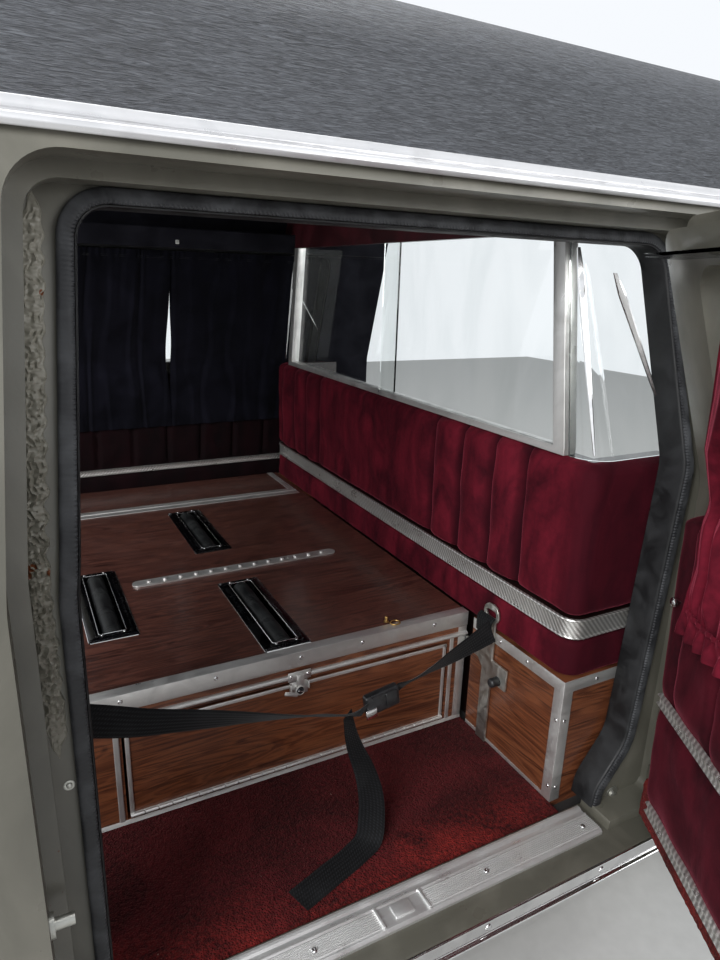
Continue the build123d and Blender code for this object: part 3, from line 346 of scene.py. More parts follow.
def superellipse(wide: float, tall: float, power: float, count: int = 32) -> Points:
    """A closed outline: half a size times the cosine or the sine raised to a power, its sign kept.

    Args:
        wide: Its width.
        tall: Its height.
        power: Below 1 it grows squarer.
        count: Its number of points.

    Returns:
        Points, shape (count, 2).
    """
    angle = circle(count, 0.5)
    cosine, sine = np.cos(angle), np.sin(angle)
    return np.stack([wide / 2 * np.sign(cosine) * np.abs(cosine) ** power,
                     tall / 2 * np.sign(sine) * np.abs(sine) ** power], 1)


def carried(profile: Points, path: Points, across: Points, up: Points) -> Points:
    """A profile carried along a path: the profile's two coordinates lie along the two directions there."""
    across, up = np.broadcast_to(across, path.shape), np.broadcast_to(up, path.shape)
    return path[:, None] + profile[None, :, :1] * across[:, None] + profile[None, :, 1:] * up[:, None]


def block(centre: Sequence[float], size: Sequence[float], radius: float, axes: Points | None = None,
          count: int = 16) -> Points:
    """A box with rounded edges, as one closed grid.

    Formula: a direction d over the sphere gives the point centre + sign(d) * (half size - radius)
    + radius * d.

    Args:
        centre: Its middle.
        size: Its three sizes.
        radius: The rounding's radius.
        axes: Three unit rows that turn it, or None.
        count: Points round it, a multiple of four.

    Returns:
        Points, shape (rows, count, 3), to be closed round and capped.
    """
    half = np.array(size) / 2
    radius = min(radius, float(half.min()) * 0.999)
    turn = circle(count, 0.5)
    rise = (np.arange(count // 2) + 0.5) / (count // 2) * np.pi - np.pi / 2
    rise, turn = np.meshgrid(rise, turn, indexing="ij")
    ways = np.stack([np.cos(rise) * np.cos(turn), np.cos(rise) * np.sin(turn), np.sin(rise)], -1)
    shape = np.sign(ways) * (half - radius) + radius * ways
    if axes is not None:
        shape = shape @ np.array(axes)
    return shape + np.array(centre)


def turned(profile: Points, centre: Sequence[float], axis: Sequence[float], count: int = 20) -> Points:
    """A profile turned about an axis.

    Formula: a point is centre + height * axis + radius * (cos, sin) in the plane across the axis.

    Args:
        profile: Radius and height in each row.
        centre: Where height is 0.
        axis: Its direction.
        count: Points round it.

    Returns:
        Points, shape (rows, count, 3), to be closed round.
    """
    axis = unit(np.array(axis, float))
    side = unit(np.cross(axis, UP if abs(axis[2]) < 0.9 else ALONG))
    other = np.cross(axis, side)
    angle = circle(count)
    ring = np.cos(angle)[:, None] * side + np.sin(angle)[:, None] * other
    return np.array(centre) + profile[:, None, 1:] * axis + profile[:, None, :1] * ring


def screw_heads(spots: Sequence[Sequence[float]], axis: Sequence[float], radius: float = 0.0042) -> Points:
    """Raised screw heads with a driver recess: height is a dome less a narrow bell at the middle.

    Args:
        spots: Where they sit.
        axis: The way they face.
        radius: Their radius.

    Returns:
        Points, shape (heads, rows, 10, 3).
    """
    reach = np.array([1.0, 0.98, 0.8, 0.5, 0.3, 0.14, 0.05])
    dome = 0.5 * np.sqrt(np.clip(1 - reach ** 2, 0, 1)) + np.where(reach >= 1, -0.1, 0.0)
    dome -= 0.34 * np.exp(-((reach / 0.26) ** 2))
    profile = np.stack([reach, dome], 1) * radius
    return np.stack([turned(profile, spot, axis, 10) for spot in spots])


def wavering(where: Points, seed: int, scale: float) -> Points:
    """A smooth pattern without repeats: the mean of sines of seeded directions, lengths and phases.

    Args:
        where: The places, their coordinates last.
        seed: Fixes the pattern.
        scale: The middle wavelength.

    Returns:
        A value for each place, mostly between -1 and 1.
    """
    chance = np.random.default_rng(seed)
    ways = unit(chance.normal(size=(WAVES_SUMMED, where.shape[-1])))
    pace = 2 * np.pi / scale * chance.uniform(0.5, 2.2, WAVES_SUMMED)
    phase = chance.uniform(0, 6.28, WAVES_SUMMED)
    return np.sin(where @ (ways * pace[:, None]).T + phase).mean(-1) * 1.8


# Finishes


# Half the distance between two bands of the wave texture at scale 1, in metres
HALF_BAND = 0.157


class Graph:
    """A material under construction: its shader, its coordinates and short ways to link nodes."""

    def __init__(self, name: str, uv: bool = False, **shader: object) -> None:
        """Makes the material.

        Args:
            name: Its name.
            uv: Reads the piece's own UV map, in metres, and not Object coordinates.
            shader: Constants for the shader's sockets, with spaces written as underscores.
        """
        self.material = bpy.data.materials.new(f"{name}.finish")
        self.material.use_nodes = True
        tree = self.material.node_tree
        self.nodes, self.links = tree.nodes, tree.links
        self.shader = self.nodes["Principled BSDF"]
        for key, value in shader.items():
            self.shader.inputs[key.replace("_", " ")].default_value = value
        self.where = self.nodes.new("ShaderNodeTexCoord").outputs["UV" if uv else "Object"]

    def add(self, kind: str, links: dict[int | str, object], **settings: object) -> bpy.types.Node:
        """Adds a node.

        Args:
            kind: Its Blender type.
            links: Sockets to link, or values to set, for its inputs.
            settings: Its properties.

        Returns:
            The node.
        """
        node = self.nodes.new(kind)
        for key, value in settings.items():
            setattr(node, key, value)
        for key, value in links.items():
            if isinstance(value, Socket):
                self.links.new(value, node.inputs[key])
            else:
                node.inputs[key].default_value = value
        return node

    def scaled(self, stretch: Sequence[float], turn: Sequence[float] = (0, 0, 0)) -> Socket:
        """The coordinates times a stretch for each axis, after a turn."""
        links = {"Vector": self.where, "Scale": tuple(stretch), "Rotation": tuple(turn)}
        return self.add("ShaderNodeMapping", links).outputs[0]

    def axis(self, name: str) -> Socket:
        """One of the coordinates."""
        return self.add("ShaderNodeSeparateXYZ", {0: self.where}).outputs[name]

    def noise(self, scale: float, detail: float = 3, stretch: Sequence[float] = (1, 1, 1),
              warp: float = 0) -> Socket:
        """Soft noise over stretched coordinates."""
        links = {"Vector": self.scaled(stretch), "Scale": scale, "Detail": detail, "Distortion": warp}
        return self.add("ShaderNodeTexNoise", links).outputs[0]

    def waves(self, scale: float, warp: float = 0, direction: str = "X",
              turn: Sequence[float] = (0, 0, 0)) -> Socket:
        """Bands across one axis."""
        links = {"Vector": self.scaled((1, 1, 1), turn), "Scale": scale, "Distortion": warp, "Detail": 2.0}
        return self.add("ShaderNodeTexWave", links, bands_direction=direction).outputs["Fac"]

    def cells(self, scale: float, stretch: Sequence[float] = (1, 1, 1)) -> Socket:
        """Distance to the nearest of scattered points."""
        links = {"Vector": self.scaled(stretch), "Scale": scale}
        return self.add("ShaderNodeTexVoronoi", links).outputs["Distance"]

    def calc(self, operation: str, first: object, second: object = 0.5) -> Socket:
        """Arithmetic on two values."""
        return self.add("ShaderNodeMath", {0: first, 1: second}, operation=operation).outputs[0]

    def limits(self, value: Socket, low: float, high: float, start: float = 0, end: float = 1) -> Socket:
        """A value's span from low to high, moved to the span from start to end and held there."""
        links = {"Value": value, "From Min": low, "From Max": high, "To Min": start, "To Max": end}
        return self.add("ShaderNodeMapRange", links).outputs[0]

    def mix(self, share: Socket, first: object, second: object) -> Socket:
        """A colour between two.

        Args:
            share: From 0 for the first to 1 for the second.
            first: A colour or a socket.
            second: A colour or a socket.

        Returns:
            The colour's socket.
        """
        node = self.add("ShaderNodeMix", {}, data_type="RGBA")
        sockets = {i.identifier: i for i in node.inputs}
        for key, value in (("Factor_Float", share), ("A_Color", first), ("B_Color", second)):
            if isinstance(value, Socket):
                self.links.new(value, sockets[key])
            else:
                sockets[key].default_value = value if key == "Factor_Float" else (*value, 1)
        return next(o for o in node.outputs if o.identifier == "Result_Color")

    def relief(self, height: Socket, depth: float, strength: float = 1.0,
               under: Socket | None = None) -> Socket:
        """A bumped normal.

        Args:
            height: The height from 0 to 1.
            depth: The height's size in metres.
            strength: Its share of the normal.
            under: A bump that it lies over.

        Returns:
            The normal's socket.
        """
        links: dict[int | str, object] = {"Height": height, "Distance": depth, "Strength": strength}
        if under is not None:
            links["Normal"] = under
        return self.add("ShaderNodeBump", links).outputs[0]

    def done(self, **sockets: Socket) -> None:
        """Links the shader's sockets, whose names have underscores for spaces."""
        for key, value in sockets.items():
            self.links.new(value, self.shader.inputs[key.replace("_", " ")])


def toned(colour: Colour, share: float) -> Colour:
    """A colour times a share."""
    return tuple(c * share for c in colour)


@dataclass(frozen=True)
class Finish:
    """A finish: a name and a way to make its material once."""

    name: str

    def material(self) -> bpy.types.Material:
        """The material, made on first use.

        Returns:
            The material.
        """
        name = f"{self.name}.finish"
        if name not in bpy.data.materials:
            self.dress()
        return bpy.data.materials[name]

    def dress(self) -> None:
        """Makes the material."""
        raise NotImplementedError


@dataclass(frozen=True)
class Enamel(Finish):
    """Sprayed enamel with dust, faint runs and small chips."""

    colour: Colour = (0.108, 0.104, 0.083)
    dust: Colour = (0.245, 0.232, 0.192)
    chip: Colour = (0.10, 0.035, 0.012)
    gloss: float = 0.36
    dusty: float = 0.45
    rust: float = 0.15
    rust_scale: float = 4.0

    def dress(self) -> None:
        """Makes the material: colour varies slowly, dust gathers in patches and chips are rare specks."""
        g = Graph(self.name, Coat_Weight=0.35, Coat_Roughness=0.3, IOR=1.45)
        slow = g.noise(5, 4, (1, 1, 0.5))
        tone = g.mix(g.limits(slow, 0.3, 0.7), toned(self.colour, 0.8), toned(self.colour, 1.15))
        patches = g.calc("MULTIPLY", g.limits(g.noise(9, 6, (1, 1, 0.4), 0.6), 0.45, 0.75), self.dusty)
        dusted = g.mix(patches, tone, self.dust)
        rusty = g.limits(g.noise(self.rust_scale, 2), 0.58, 0.78, 0.0, self.rust)
        specks = g.calc("LESS_THAN", g.cells(55), rusty)
        paint = g.mix(specks, dusted, self.chip)
        rough = g.limits(g.noise(14, 5), 0.3, 0.75, self.gloss - 0.1, self.gloss + 0.18)
        orange_peel = g.relief(g.noise(260, 2), 0.0004, 0.25)
        dents = g.relief(g.noise(11, 3), 0.002, 0.25, orange_peel)
        g.done(Base_Color=paint, Roughness=rough, Normal=dents)


@dataclass(frozen=True)
class Bright(Finish):
    """Polished or satin metal with fine lines along it, smudges and scratches."""

    colour: Colour = (0.62, 0.62, 0.61)
    rough: float = 0.3
    lines: float = 0.25
    along: Sequence[float] = (2, 160, 160)
    grime: float = 0.35
    metal: float = 1.0

    def dress(self) -> None:
        """Makes the material: noise stretched along the metal gives its lines, slow noise its smudges."""
        g = Graph(self.name, Metallic=self.metal)
        drawn = g.noise(1, 4, self.along)
        smudge = g.noise(16, 5, warp=0.8)
        soiled = g.calc("MULTIPLY", g.limits(smudge, 0.42, 0.72), self.grime)
        grey = g.mix(soiled, self.colour, toned(self.colour, 0.5))
        rough = g.calc("ADD", g.limits(smudge, 0.3, 0.7, self.rough * 0.6, self.rough * 1.35),
                       g.limits(drawn, 0.3, 0.7, 0, self.lines * 0.4))
        scratch = g.calc("LESS_THAN", g.cells(7, (1, 11, 11)), 0.010)
        height = g.calc("SUBTRACT", g.calc("MULTIPLY", drawn, self.lines), g.calc("MULTIPLY", scratch, 0.6))
        g.done(Base_Color=grey, Roughness=rough, Normal=g.relief(height, 0.0005, 0.5))


@dataclass(frozen=True)
class Zinc(Finish):
    """Zinc-plated steel with blotches of white bloom."""

    colour: Colour = (0.42, 0.42, 0.38)
    bloom: Colour = (0.62, 0.62, 0.58)

    def dress(self) -> None:
        """Makes the material: warped noise lays the blotches, fine noise the spangle."""
        g = Graph(self.name, Metallic=0.9)
        share = g.limits(g.noise(30, 6, warp=1.5), 0.4, 0.7)
        g.done(Base_Color=g.mix(share, self.colour, self.bloom),
               Roughness=g.limits(share, 0, 1, 0.28, 0.55),
               Normal=g.relief(g.noise(180, 3), 0.0004, 0.4))


@dataclass(frozen=True)
class Hatched(Finish):
    """Stainless band pressed with a fine slanting hatch."""

    pitch: float = 0.0040

    def dress(self) -> None:
        """Makes the material: slanting waves over the UV map, broken by fine noise, give the hatch."""
        g = Graph(self.name, True, Metallic=0.82)
        slant = g.waves(HALF_BAND / self.pitch, turn=(0, 0, 0.7))
        hatch = g.calc("MULTIPLY", slant, g.limits(g.noise(900, 1), 0.35, 0.6, 0.4, 1.0))
        smudge = g.noise(18, 4)
        tone = g.mix(g.limits(hatch, 0.1, 0.7), (0.44, 0.43, 0.41), (0.84, 0.83, 0.80))
        g.done(Base_Color=tone, Roughness=g.limits(smudge, 0.3, 0.7, 0.24, 0.42),
               Normal=g.relief(hatch, 0.0006, 0.5))


@dataclass(frozen=True)
class Velvet(Finish):
    """Crushed velvet: brushed patches of nap, fine pile and a sheen at grazing angles."""

    deep: Colour = (0.024, 0.0012, 0.0045)
    lit: Colour = (0.150, 0.0085, 0.020)
    sheen: Colour = (1.0, 0.16, 0.26)
    patch: float = 8.0
    gleam: float = 0.26
    painted_shade_from: float = 0.0
    seams: Sequence[float] = ()
    seam_shade_from: float = 0.549

    def dress(self) -> None:
        """Makes the material: warped noise brushes the nap, fine noise raises the pile.

        Where painted_shade_from is set, the cloth beyond it on the right is painted nearly black: painted
        shade on the side that faces away from the light.
        Seams above seam_shade_from are darkened by their distance from the centreline, as painted shade in
        the pleats' creases.
        """
        g = Graph(self.name, Sheen_Weight=self.gleam, Sheen_Roughness=0.30, Specular_IOR_Level=0.12,
                  Sheen_Tint=(*self.sheen, 1), Roughness=0.85)
        nap = g.noise(self.patch, 8, (1, 1, 0.55), 1.6)
        strokes = g.noise(26, 5, (1, 1, 0.25), 1.0)
        fine = g.noise(90, 4, warp=0.6)
        broad = g.calc("ADD", g.limits(nap, 0.38, 0.66, 0, 0.58), g.limits(strokes, 0.36, 0.68, 0, 0.26))
        share = g.calc("ADD", broad, g.limits(fine, 0.35, 0.7, 0, 0.16))
        shade = 1.0
        # Painted shade: beyond painted_shade_from on the right the colour falls to about a quarter, nearly
        # black.
        if self.painted_shade_from:
            shade = g.limits(g.axis("Y"), -self.painted_shade_from, 0.045 - self.painted_shade_from, 0.24, 1.0)
        # Painted shade: along each listed seam above seam_shade_from the colour darkens, standing for shade
        # in the crease.
        for seam in self.seams:
            near = g.limits(g.calc("ABSOLUTE", g.calc("SUBTRACT", g.axis("Y"), seam)), 0.003, 0.017)
            near = g.calc("MAXIMUM", near, g.calc("LESS_THAN", g.axis("Z"), self.seam_shade_from))
            shade = g.calc("MULTIPLY", shade, near)
        share = g.calc("MULTIPLY", share, shade)
        bruise = g.relief(nap, 0.008, 0.35)
        pile = g.relief(g.noise(1300, 1), 0.0006, 0.35, bruise)
        g.done(Base_Color=g.mix(share, self.deep, self.lit), Normal=pile)


@dataclass(frozen=True)
class CutPile(Finish):
    """Cut-pile carpet with clumped tufts, paler worn patches and pale lint, with a painted pool of light by
    the sill.
    """

    deep: Colour = (0.020, 0.0035, 0.0055)
    lit: Colour = (0.096, 0.0115, 0.0150)
    painted_sill_light: Colour = (0.330, 0.028, 0.022)
    lint: Colour = (0.42, 0.30, 0.25)

    def dress(self) -> None:
        """Makes the material: cells are tufts, noise clumps them, rare cells are lint; by the sill a painted
        pool of light brightens the red.
        """
        g = Graph(self.name, Sheen_Weight=0.12, Sheen_Roughness=0.5, Sheen_Tint=(1.0, 0.35, 0.3, 1),
                  Roughness=0.95, Specular_IOR_Level=0.08)
        tufts = g.cells(300)
        clumps = g.noise(120, 6, warp=0.5)
        worn = g.noise(6, 5, warp=0.9)
        share = g.calc("ADD", g.limits(clumps, 0.36, 0.64, 0, 0.48), g.limits(worn, 0.40, 0.62, 0, 0.52))
        red = g.mix(share, self.deep, self.lit)
        # Painted light: the carpet brightens towards the sill, where light falls in through the doorway.
        sill_light_mask = g.limits(g.calc("ABSOLUTE", g.axis("Y")), 0.68, 0.79)
        bright = g.calc("MULTIPLY", sill_light_mask, g.limits(g.noise(5, 5, warp=0.6), 0.36, 0.62))
        red = g.mix(g.calc("MULTIPLY", bright, share), red, self.painted_sill_light)
        lint = g.calc("LESS_THAN", g.cells(38, (1, 0.5, 1)), g.limits(g.noise(8, 2), 0.42, 0.72, 0.0, 0.055))
        height = g.calc("SUBTRACT", clumps, g.calc("MULTIPLY", tufts, 0.6))
        g.done(Base_Color=g.mix(lint, red, self.lint), Normal=g.relief(height, 0.007))


class Grain(Enum):
    """Which way a wood laminate's grain runs: along X on a deck, or along each upright face."""

    DECK = 1
    UPRIGHT = 2


@dataclass(frozen=True)
class Laminate(Finish):
    """Wood-grain laminate: flowing figure, fine pores along it, a satin coat with scuffs."""

    dark: Colour = (0.032, 0.0125, 0.0105)
    warm: Colour = (0.105, 0.038, 0.028)
    pale: Colour = (0.175, 0.066, 0.046)
    grain: Grain = Grain.DECK
    coat: float = 0.35
    rough: float = 0.36

    def dress(self) -> None:
        """Makes the material: contour lines of slow noise give the figure, noise drawn out the streaks.

        On upright faces the run along the grain is X + Y, so that it turns the corner of a box.
        """
        g = Graph(self.name, Coat_Weight=self.coat, Coat_Roughness=0.2, IOR=1.5)
        if self.grain is Grain.UPRIGHT:
            run = g.calc("ADD", g.axis("X"), g.axis("Y"))
            g.where = g.add("ShaderNodeCombineXYZ", {0: run, 1: 0.0, 2: g.axis("Z")}).outputs[0]
        figure = g.noise(2.6, 3, (1.0, 7.0, 7.0), 1.1)
        rings = g.calc("SINE", g.calc("MULTIPLY", figure, 60.0))
        streaks = g.noise(7, 6, (0.5, 30, 30), 0.4)
        veins = g.calc("GREATER_THAN", g.noise(11, 4, (0.35, 20, 20), 0.3), 0.60)
        pores = g.calc("GREATER_THAN", g.noise(30, 3, (0.9, 26, 26)), 0.62)
        slow = g.noise(2.2, 3, (0.5, 3, 3))
        base = g.mix(g.limits(streaks, 0.34, 0.66), self.dark, self.warm)
        tone = g.mix(g.limits(rings, -0.6, 1.0, 0.0, 0.6), base, self.pale)
        tone = g.mix(g.limits(slow, 0.35, 0.65, 0.0, 0.35), tone, self.warm)
        lines = g.calc("ADD", g.calc("MULTIPLY", pores, 0.35), g.calc("MULTIPLY", veins, 0.5))
        wood = g.mix(lines, tone, toned(self.dark, 0.5))
        scuff = g.limits(g.noise(7, 6, warp=1), 0.4, 0.75, self.rough - 0.08, self.rough + 0.18)
        g.done(Base_Color=wood, Roughness=scuff,
               Normal=g.relief(g.calc("SUBTRACT", streaks, pores), 0.0004, 0.3))


@dataclass(frozen=True)
class Plywood(Finish):
    """Unpainted plywood with plies at its edges."""

    def dress(self) -> None:
        """Makes the material: stretched noise for the face, thin bands for the plies."""
        g = Graph(self.name, Roughness=0.8)
        grain = g.noise(6, 5, (1, 6, 6), 0.7)
        plies = g.waves(60, warp=0.4, direction="Z")
        wood = g.mix(g.limits(grain, 0.3, 0.7), (0.20, 0.13, 0.07), (0.38, 0.27, 0.16))
        g.done(Base_Color=g.mix(g.limits(plies, 0, 0.3, 0.35, 0), wood, (0.10, 0.06, 0.03)),
               Normal=g.relief(grain, 0.0008, 0.5))


@dataclass(frozen=True)
class Rubber(Finish):
    """Black or grey rubber, ribbed across its length where it has a UV map."""

    colour: Colour = (0.026, 0.027, 0.030)
    pale: Colour = (0.088, 0.092, 0.098)
    rib: float = 0.0
    rib_middle: float = 0.029
    uv: bool = False

    def dress(self) -> None:
        """Makes the material: a dusty bloom and ribs by waves along the UV map."""
        g = Graph(self.name, self.uv, Specular_IOR_Level=0.35)
        bloom = g.noise(24, 6, warp=0.7)
        tone = g.mix(g.limits(bloom, 0.4, 0.75), self.colour, self.pale)
        normal = g.relief(g.noise(420, 2), 0.0004, 0.4)
        if self.rib:
            off = g.calc("ABSOLUTE", g.calc("SUBTRACT", g.axis("Y"), self.rib_middle))
            fade = g.limits(off, 0.009, 0.013, 1.0, 0.08)
            ribs = g.calc("MULTIPLY", g.waves(2 * HALF_BAND / self.rib), fade)
            normal = g.relief(ribs, 0.0022, 0.8, normal)
        g.done(Base_Color=tone, Roughness=g.limits(bloom, 0.3, 0.7, 0.42, 0.68), Normal=normal)


@dataclass(frozen=True)
class VinylCloth(Finish):
    """Charcoal vinyl roof cloth, with a fine wavy grain that runs along the roof."""

    deep: Colour = (0.012, 0.013, 0.016)
    lit: Colour = (0.112, 0.120, 0.136)

    def dress(self) -> None:
        """Makes the material: noise drawn out along X is the grain, slow noise the weathering."""
        g = Graph(self.name, Specular_IOR_Level=0.4)
        grain = g.noise(1, 4, (44, 380, 520), 1.3)
        weather = g.noise(5, 5, (0.6, 1, 1), 0.6)
        share = g.calc("ADD", g.limits(grain, 0.36, 0.7, 0, 0.7), g.limits(weather, 0.3, 0.8, 0, 0.3))
        g.done(Base_Color=g.mix(share, self.deep, self.lit),
               Roughness=g.limits(weather, 0.3, 0.7, 0.42, 0.6), Normal=g.relief(grain, 0.0035, 0.9))


@dataclass(frozen=True)
class Cloth(Finish):
    """Plain napped or woven cloth of one colour family."""

    deep: Colour
    lit: Colour
    sheen: float
    patch: float = 12.0
    weave: float = 900.0

    def dress(self) -> None:
        """Makes the material: slow patches over a fine weave."""
        g = Graph(self.name, Sheen_Weight=self.sheen, Roughness=0.92, Specular_IOR_Level=0.1,
                  Sheen_Roughness=0.4)
        patches = g.limits(g.noise(self.patch, 5, warp=0.8), 0.35, 0.7)
        g.done(Base_Color=g.mix(patches, self.deep, self.lit),
               Normal=g.relief(g.noise(self.weave, 1), 0.0006, 0.4))


@dataclass(frozen=True)
class Hide(Finish):
    """Dark red leathercloth with a pebbled grain."""

    deep: Colour = (0.024, 0.0020, 0.0040)
    lit: Colour = (0.085, 0.0075, 0.0135)

    def dress(self) -> None:
        """Makes the material: cells for the pebble, noise for the wear."""
        g = Graph(self.name, Specular_IOR_Level=0.4)
        wear = g.noise(8, 5, warp=0.8)
        pebble = g.cells(300)
        g.done(Base_Color=g.mix(g.limits(wear, 0.35, 0.7), self.deep, self.lit),
               Roughness=g.limits(wear, 0.3, 0.7, 0.5, 0.7), Normal=g.relief(pebble, 0.0006, 0.6))


@dataclass(frozen=True)
class Webbing(Finish):
    """Woven belt webbing: ribs across, threads along, over the UV map."""

    rib: float = 0.0022
    thread: float = 0.0034

    def dress(self) -> None:
        """Makes the material: waves along and across the UV map cross as a twill."""
        g = Graph(self.name, True, Sheen_Weight=0.08, Sheen_Roughness=0.4, Roughness=0.8,
                  Specular_IOR_Level=0.2)
        ribs = g.waves(HALF_BAND / self.rib, turn=(0, 0, 0.5))
        threads = g.waves(HALF_BAND / self.thread, direction="Y")
        weave = g.calc("MULTIPLY", ribs, threads)
        worn = g.noise(14, 5)
        tone = g.mix(g.limits(weave, 0.0, 0.9), (0.0025, 0.0025, 0.003), (0.014, 0.015, 0.017))
        g.done(Base_Color=g.mix(g.limits(worn, 0.5, 0.85, 0, 0.3), tone, (0.045, 0.047, 0.05)),
               Normal=g.relief(weave, 0.0008, 0.7))


@dataclass(frozen=True)
class Glazing(Finish):
    """Clear glass with a trace of dust and smears."""

    def dress(self) -> None:
        """Makes the material: almost clear, smeared by slow noise in its roughness."""
        g = Graph(self.name, Transmission_Weight=1.0, IOR=1.3, Specular_IOR_Level=0.5)
        smear = g.noise(9, 5, (1, 1, 0.4), 1.0)
        g.done(Base_Color=g.mix(g.limits(smear, 0.4, 0.8), (0.96, 0.98, 0.97), (0.86, 0.89, 0.88)),
               Roughness=g.limits(smear, 0.5, 0.9, 0.0, 0.05))


@dataclass(frozen=True)
class Plastic(Finish):
    """Moulded plastic with a fine texture and handling marks."""

    colour: Colour = (0.012, 0.012, 0.013)
    rough: float = 0.32

    def dress(self) -> None:
        """Makes the material: fine noise for the texture, slow noise for the marks."""
        g = Graph(self.name)
        marks = g.noise(45, 5, warp=0.8)
        g.done(Base_Color=g.mix(g.limits(marks, 0.4, 0.8), self.colour, toned(self.colour, 2.6)),
               Roughness=g.limits(marks, 0.3, 0.7, self.rough - 0.08, self.rough + 0.14),
               Normal=g.relief(g.noise(900, 1), 0.0003, 0.3))


ENAMEL = Enamel("body_enamel")
SEALER = Enamel("seam_sealer", (0.24, 0.23, 0.19), (0.36, 0.34, 0.28), (0.17, 0.050, 0.014),
                0.5, 0.5, 0.75, 26)
UNDERCOAT = Enamel("underbody_coat", (0.03, 0.03, 0.03), (0.11, 0.10, 0.08), (0.12, 0.05, 0.02), 0.7, 0.5)
CHROME = Bright("polished_metal", (0.82, 0.82, 0.82), 0.14, 0.12, grime=0.45)
SATIN = Bright("satin_aluminium_long", (0.74, 0.73, 0.71), 0.40, 0.35, (2, 160, 160), metal=0.82)
SATIN_UPRIGHT = Bright("satin_aluminium_upright", (0.74, 0.73, 0.71), 0.38, 0.35, (160, 160, 2), metal=0.85)
RIBBED = Bright("ribbed_aluminium", (0.86, 0.86, 0.85), 0.36, 0.3, (2, 220, 220), grime=0.35, metal=0.75)
TRAY_STEEL = Bright("tray_steel", (0.055, 0.055, 0.058), 0.22, 0.2, (160, 2, 160), grime=0.4)
DARK_METAL = Bright("dark_metal", (0.10, 0.10, 0.11), 0.2, 0.1, grime=0.5)
BRASS = Bright("worn_brass", (0.60, 0.38, 0.14), 0.3, 0.2, grime=0.5)
ZINC = Zinc("zinc_plate")
HATCHED = Hatched("hatched_stainless")
VELVET = Velvet("burgundy_velvet")
PLEAT_GROUPS = ((-0.586, -0.490, -0.380, -0.270), (0.400, 0.496, 0.600, 0.713))
# The partition's velvet, with painted shade on its right return and in its pleat seams
PAD_VELVET = Velvet("partition_velvet", painted_shade_from=0.745, seams=PLEAT_GROUPS[0] + PLEAT_GROUPS[1])
CARD_VELVET = Velvet("card_velvet", (0.013, 0.0008, 0.0026), (0.072, 0.0050, 0.0115), gleam=0.2)
SHADED_VELVET = Velvet("shaded_velvet", (0.002, 0.0005, 0.0010), (0.0085, 0.0009, 0.0020), gleam=0.03)
CURTAIN_VELVET = Velvet("curtain_velvet", (0.026, 0.0012, 0.0045), (0.180, 0.010, 0.025), patch=13,
                        gleam=0.35)
DRIP_METAL = Bright("drip_metal", (0.66, 0.66, 0.67), 0.36, 0.4, (2, 260, 260), grime=0.4, metal=0.8)
DARK_BOARD = Laminate("dark_board", (0.004, 0.0018, 0.0018), (0.011, 0.0042, 0.0036),
                      (0.018, 0.0070, 0.0055))
SEAL_LIP = Rubber("seal_lip_rubber", (0.0075, 0.0078, 0.0085), (0.026, 0.027, 0.029))
CARPET = CutPile("red_carpet")
WALNUT = Laminate("walnut_laminate")
ROSEWOOD = Laminate("rosewood_laminate", (0.038, 0.011, 0.006), (0.165, 0.052, 0.022),
                    (0.255, 0.088, 0.036), Grain.UPRIGHT, 0.25, 0.4)
PLY = Plywood("plain_plywood")
SEAL = Rubber("seal_rubber", rib=0.0055, uv=True)
DRUM_RUBBER = Rubber("drum_rubber", (0.006, 0.0065, 0.007), (0.026, 0.028, 0.028))
VINYL = VinylCloth("vinyl_roof_cloth")
HEADLINING = Cloth("dark_headlining", (0.006, 0.006, 0.009), (0.016, 0.016, 0.022), 0.1)
# The left curtain's navy cloth, darkened near black as painted shade
SHADED_NAVY = Cloth("navy_curtain_cloth", (0.0016, 0.0016, 0.0036), (0.0052, 0.0052, 0.0098), 0.08)
HIDE = Hide("red_leathercloth")
WEBBING = Webbing("black_webbing")
GLASS = Glazing("clear_glass")
BUCKLE = Plastic("buckle_plastic")
KNOB = Plastic("pale_button", (0.40, 0.40, 0.38), 0.3)
BLACK_KNOB = Plastic("black_knob", (0.010, 0.010, 0.011), 0.4)

SLOTS = {row["node"]: row["material_slot"] for row in frame["record"]["subparts"]}
SLOT_FINISH: dict[str, Finish] = {
    "underbody_paint": UNDERCOAT, "body_paint": ENAMEL, "polished_trim": CHROME, "ribbed_aluminium": RIBBED,
    "seal_rubber": SEAL, "zinc_plate": ZINC, "vinyl_roof": VINYL, "dark_headlining": HEADLINING,
    "red_carpet": CARPET, "walnut_laminate": WALNUT, "rosewood_laminate": ROSEWOOD, "plain_plywood": PLY,
    "satin_aluminium": SATIN, "roller_steel": TRAY_STEEL, "roller_rubber": DRUM_RUBBER,
    "burgundy_velvet": VELVET, "hatched_stainless": HATCHED, "clear_glass": GLASS, "red_leathercloth": HIDE,
    "navy_curtain": SHADED_NAVY, "black_webbing": WEBBING, "buckle_plastic": BUCKLE,
}
NODE_FINISH: dict[str, Finish] = {"partition_core": DARK_BOARD}


def dress_nodes() -> None:
    """Gives every CAD node its own finish or that of its slot."""
    for node, item in frame["nodes"].items():
        finish = NODE_FINISH.get(node, SLOT_FINISH[SLOTS[node]])
        item.data.materials.clear()
        item.data.materials.append(finish.material())
        LOG.info("node %s: %s", node, SLOTS[node])


# Stage


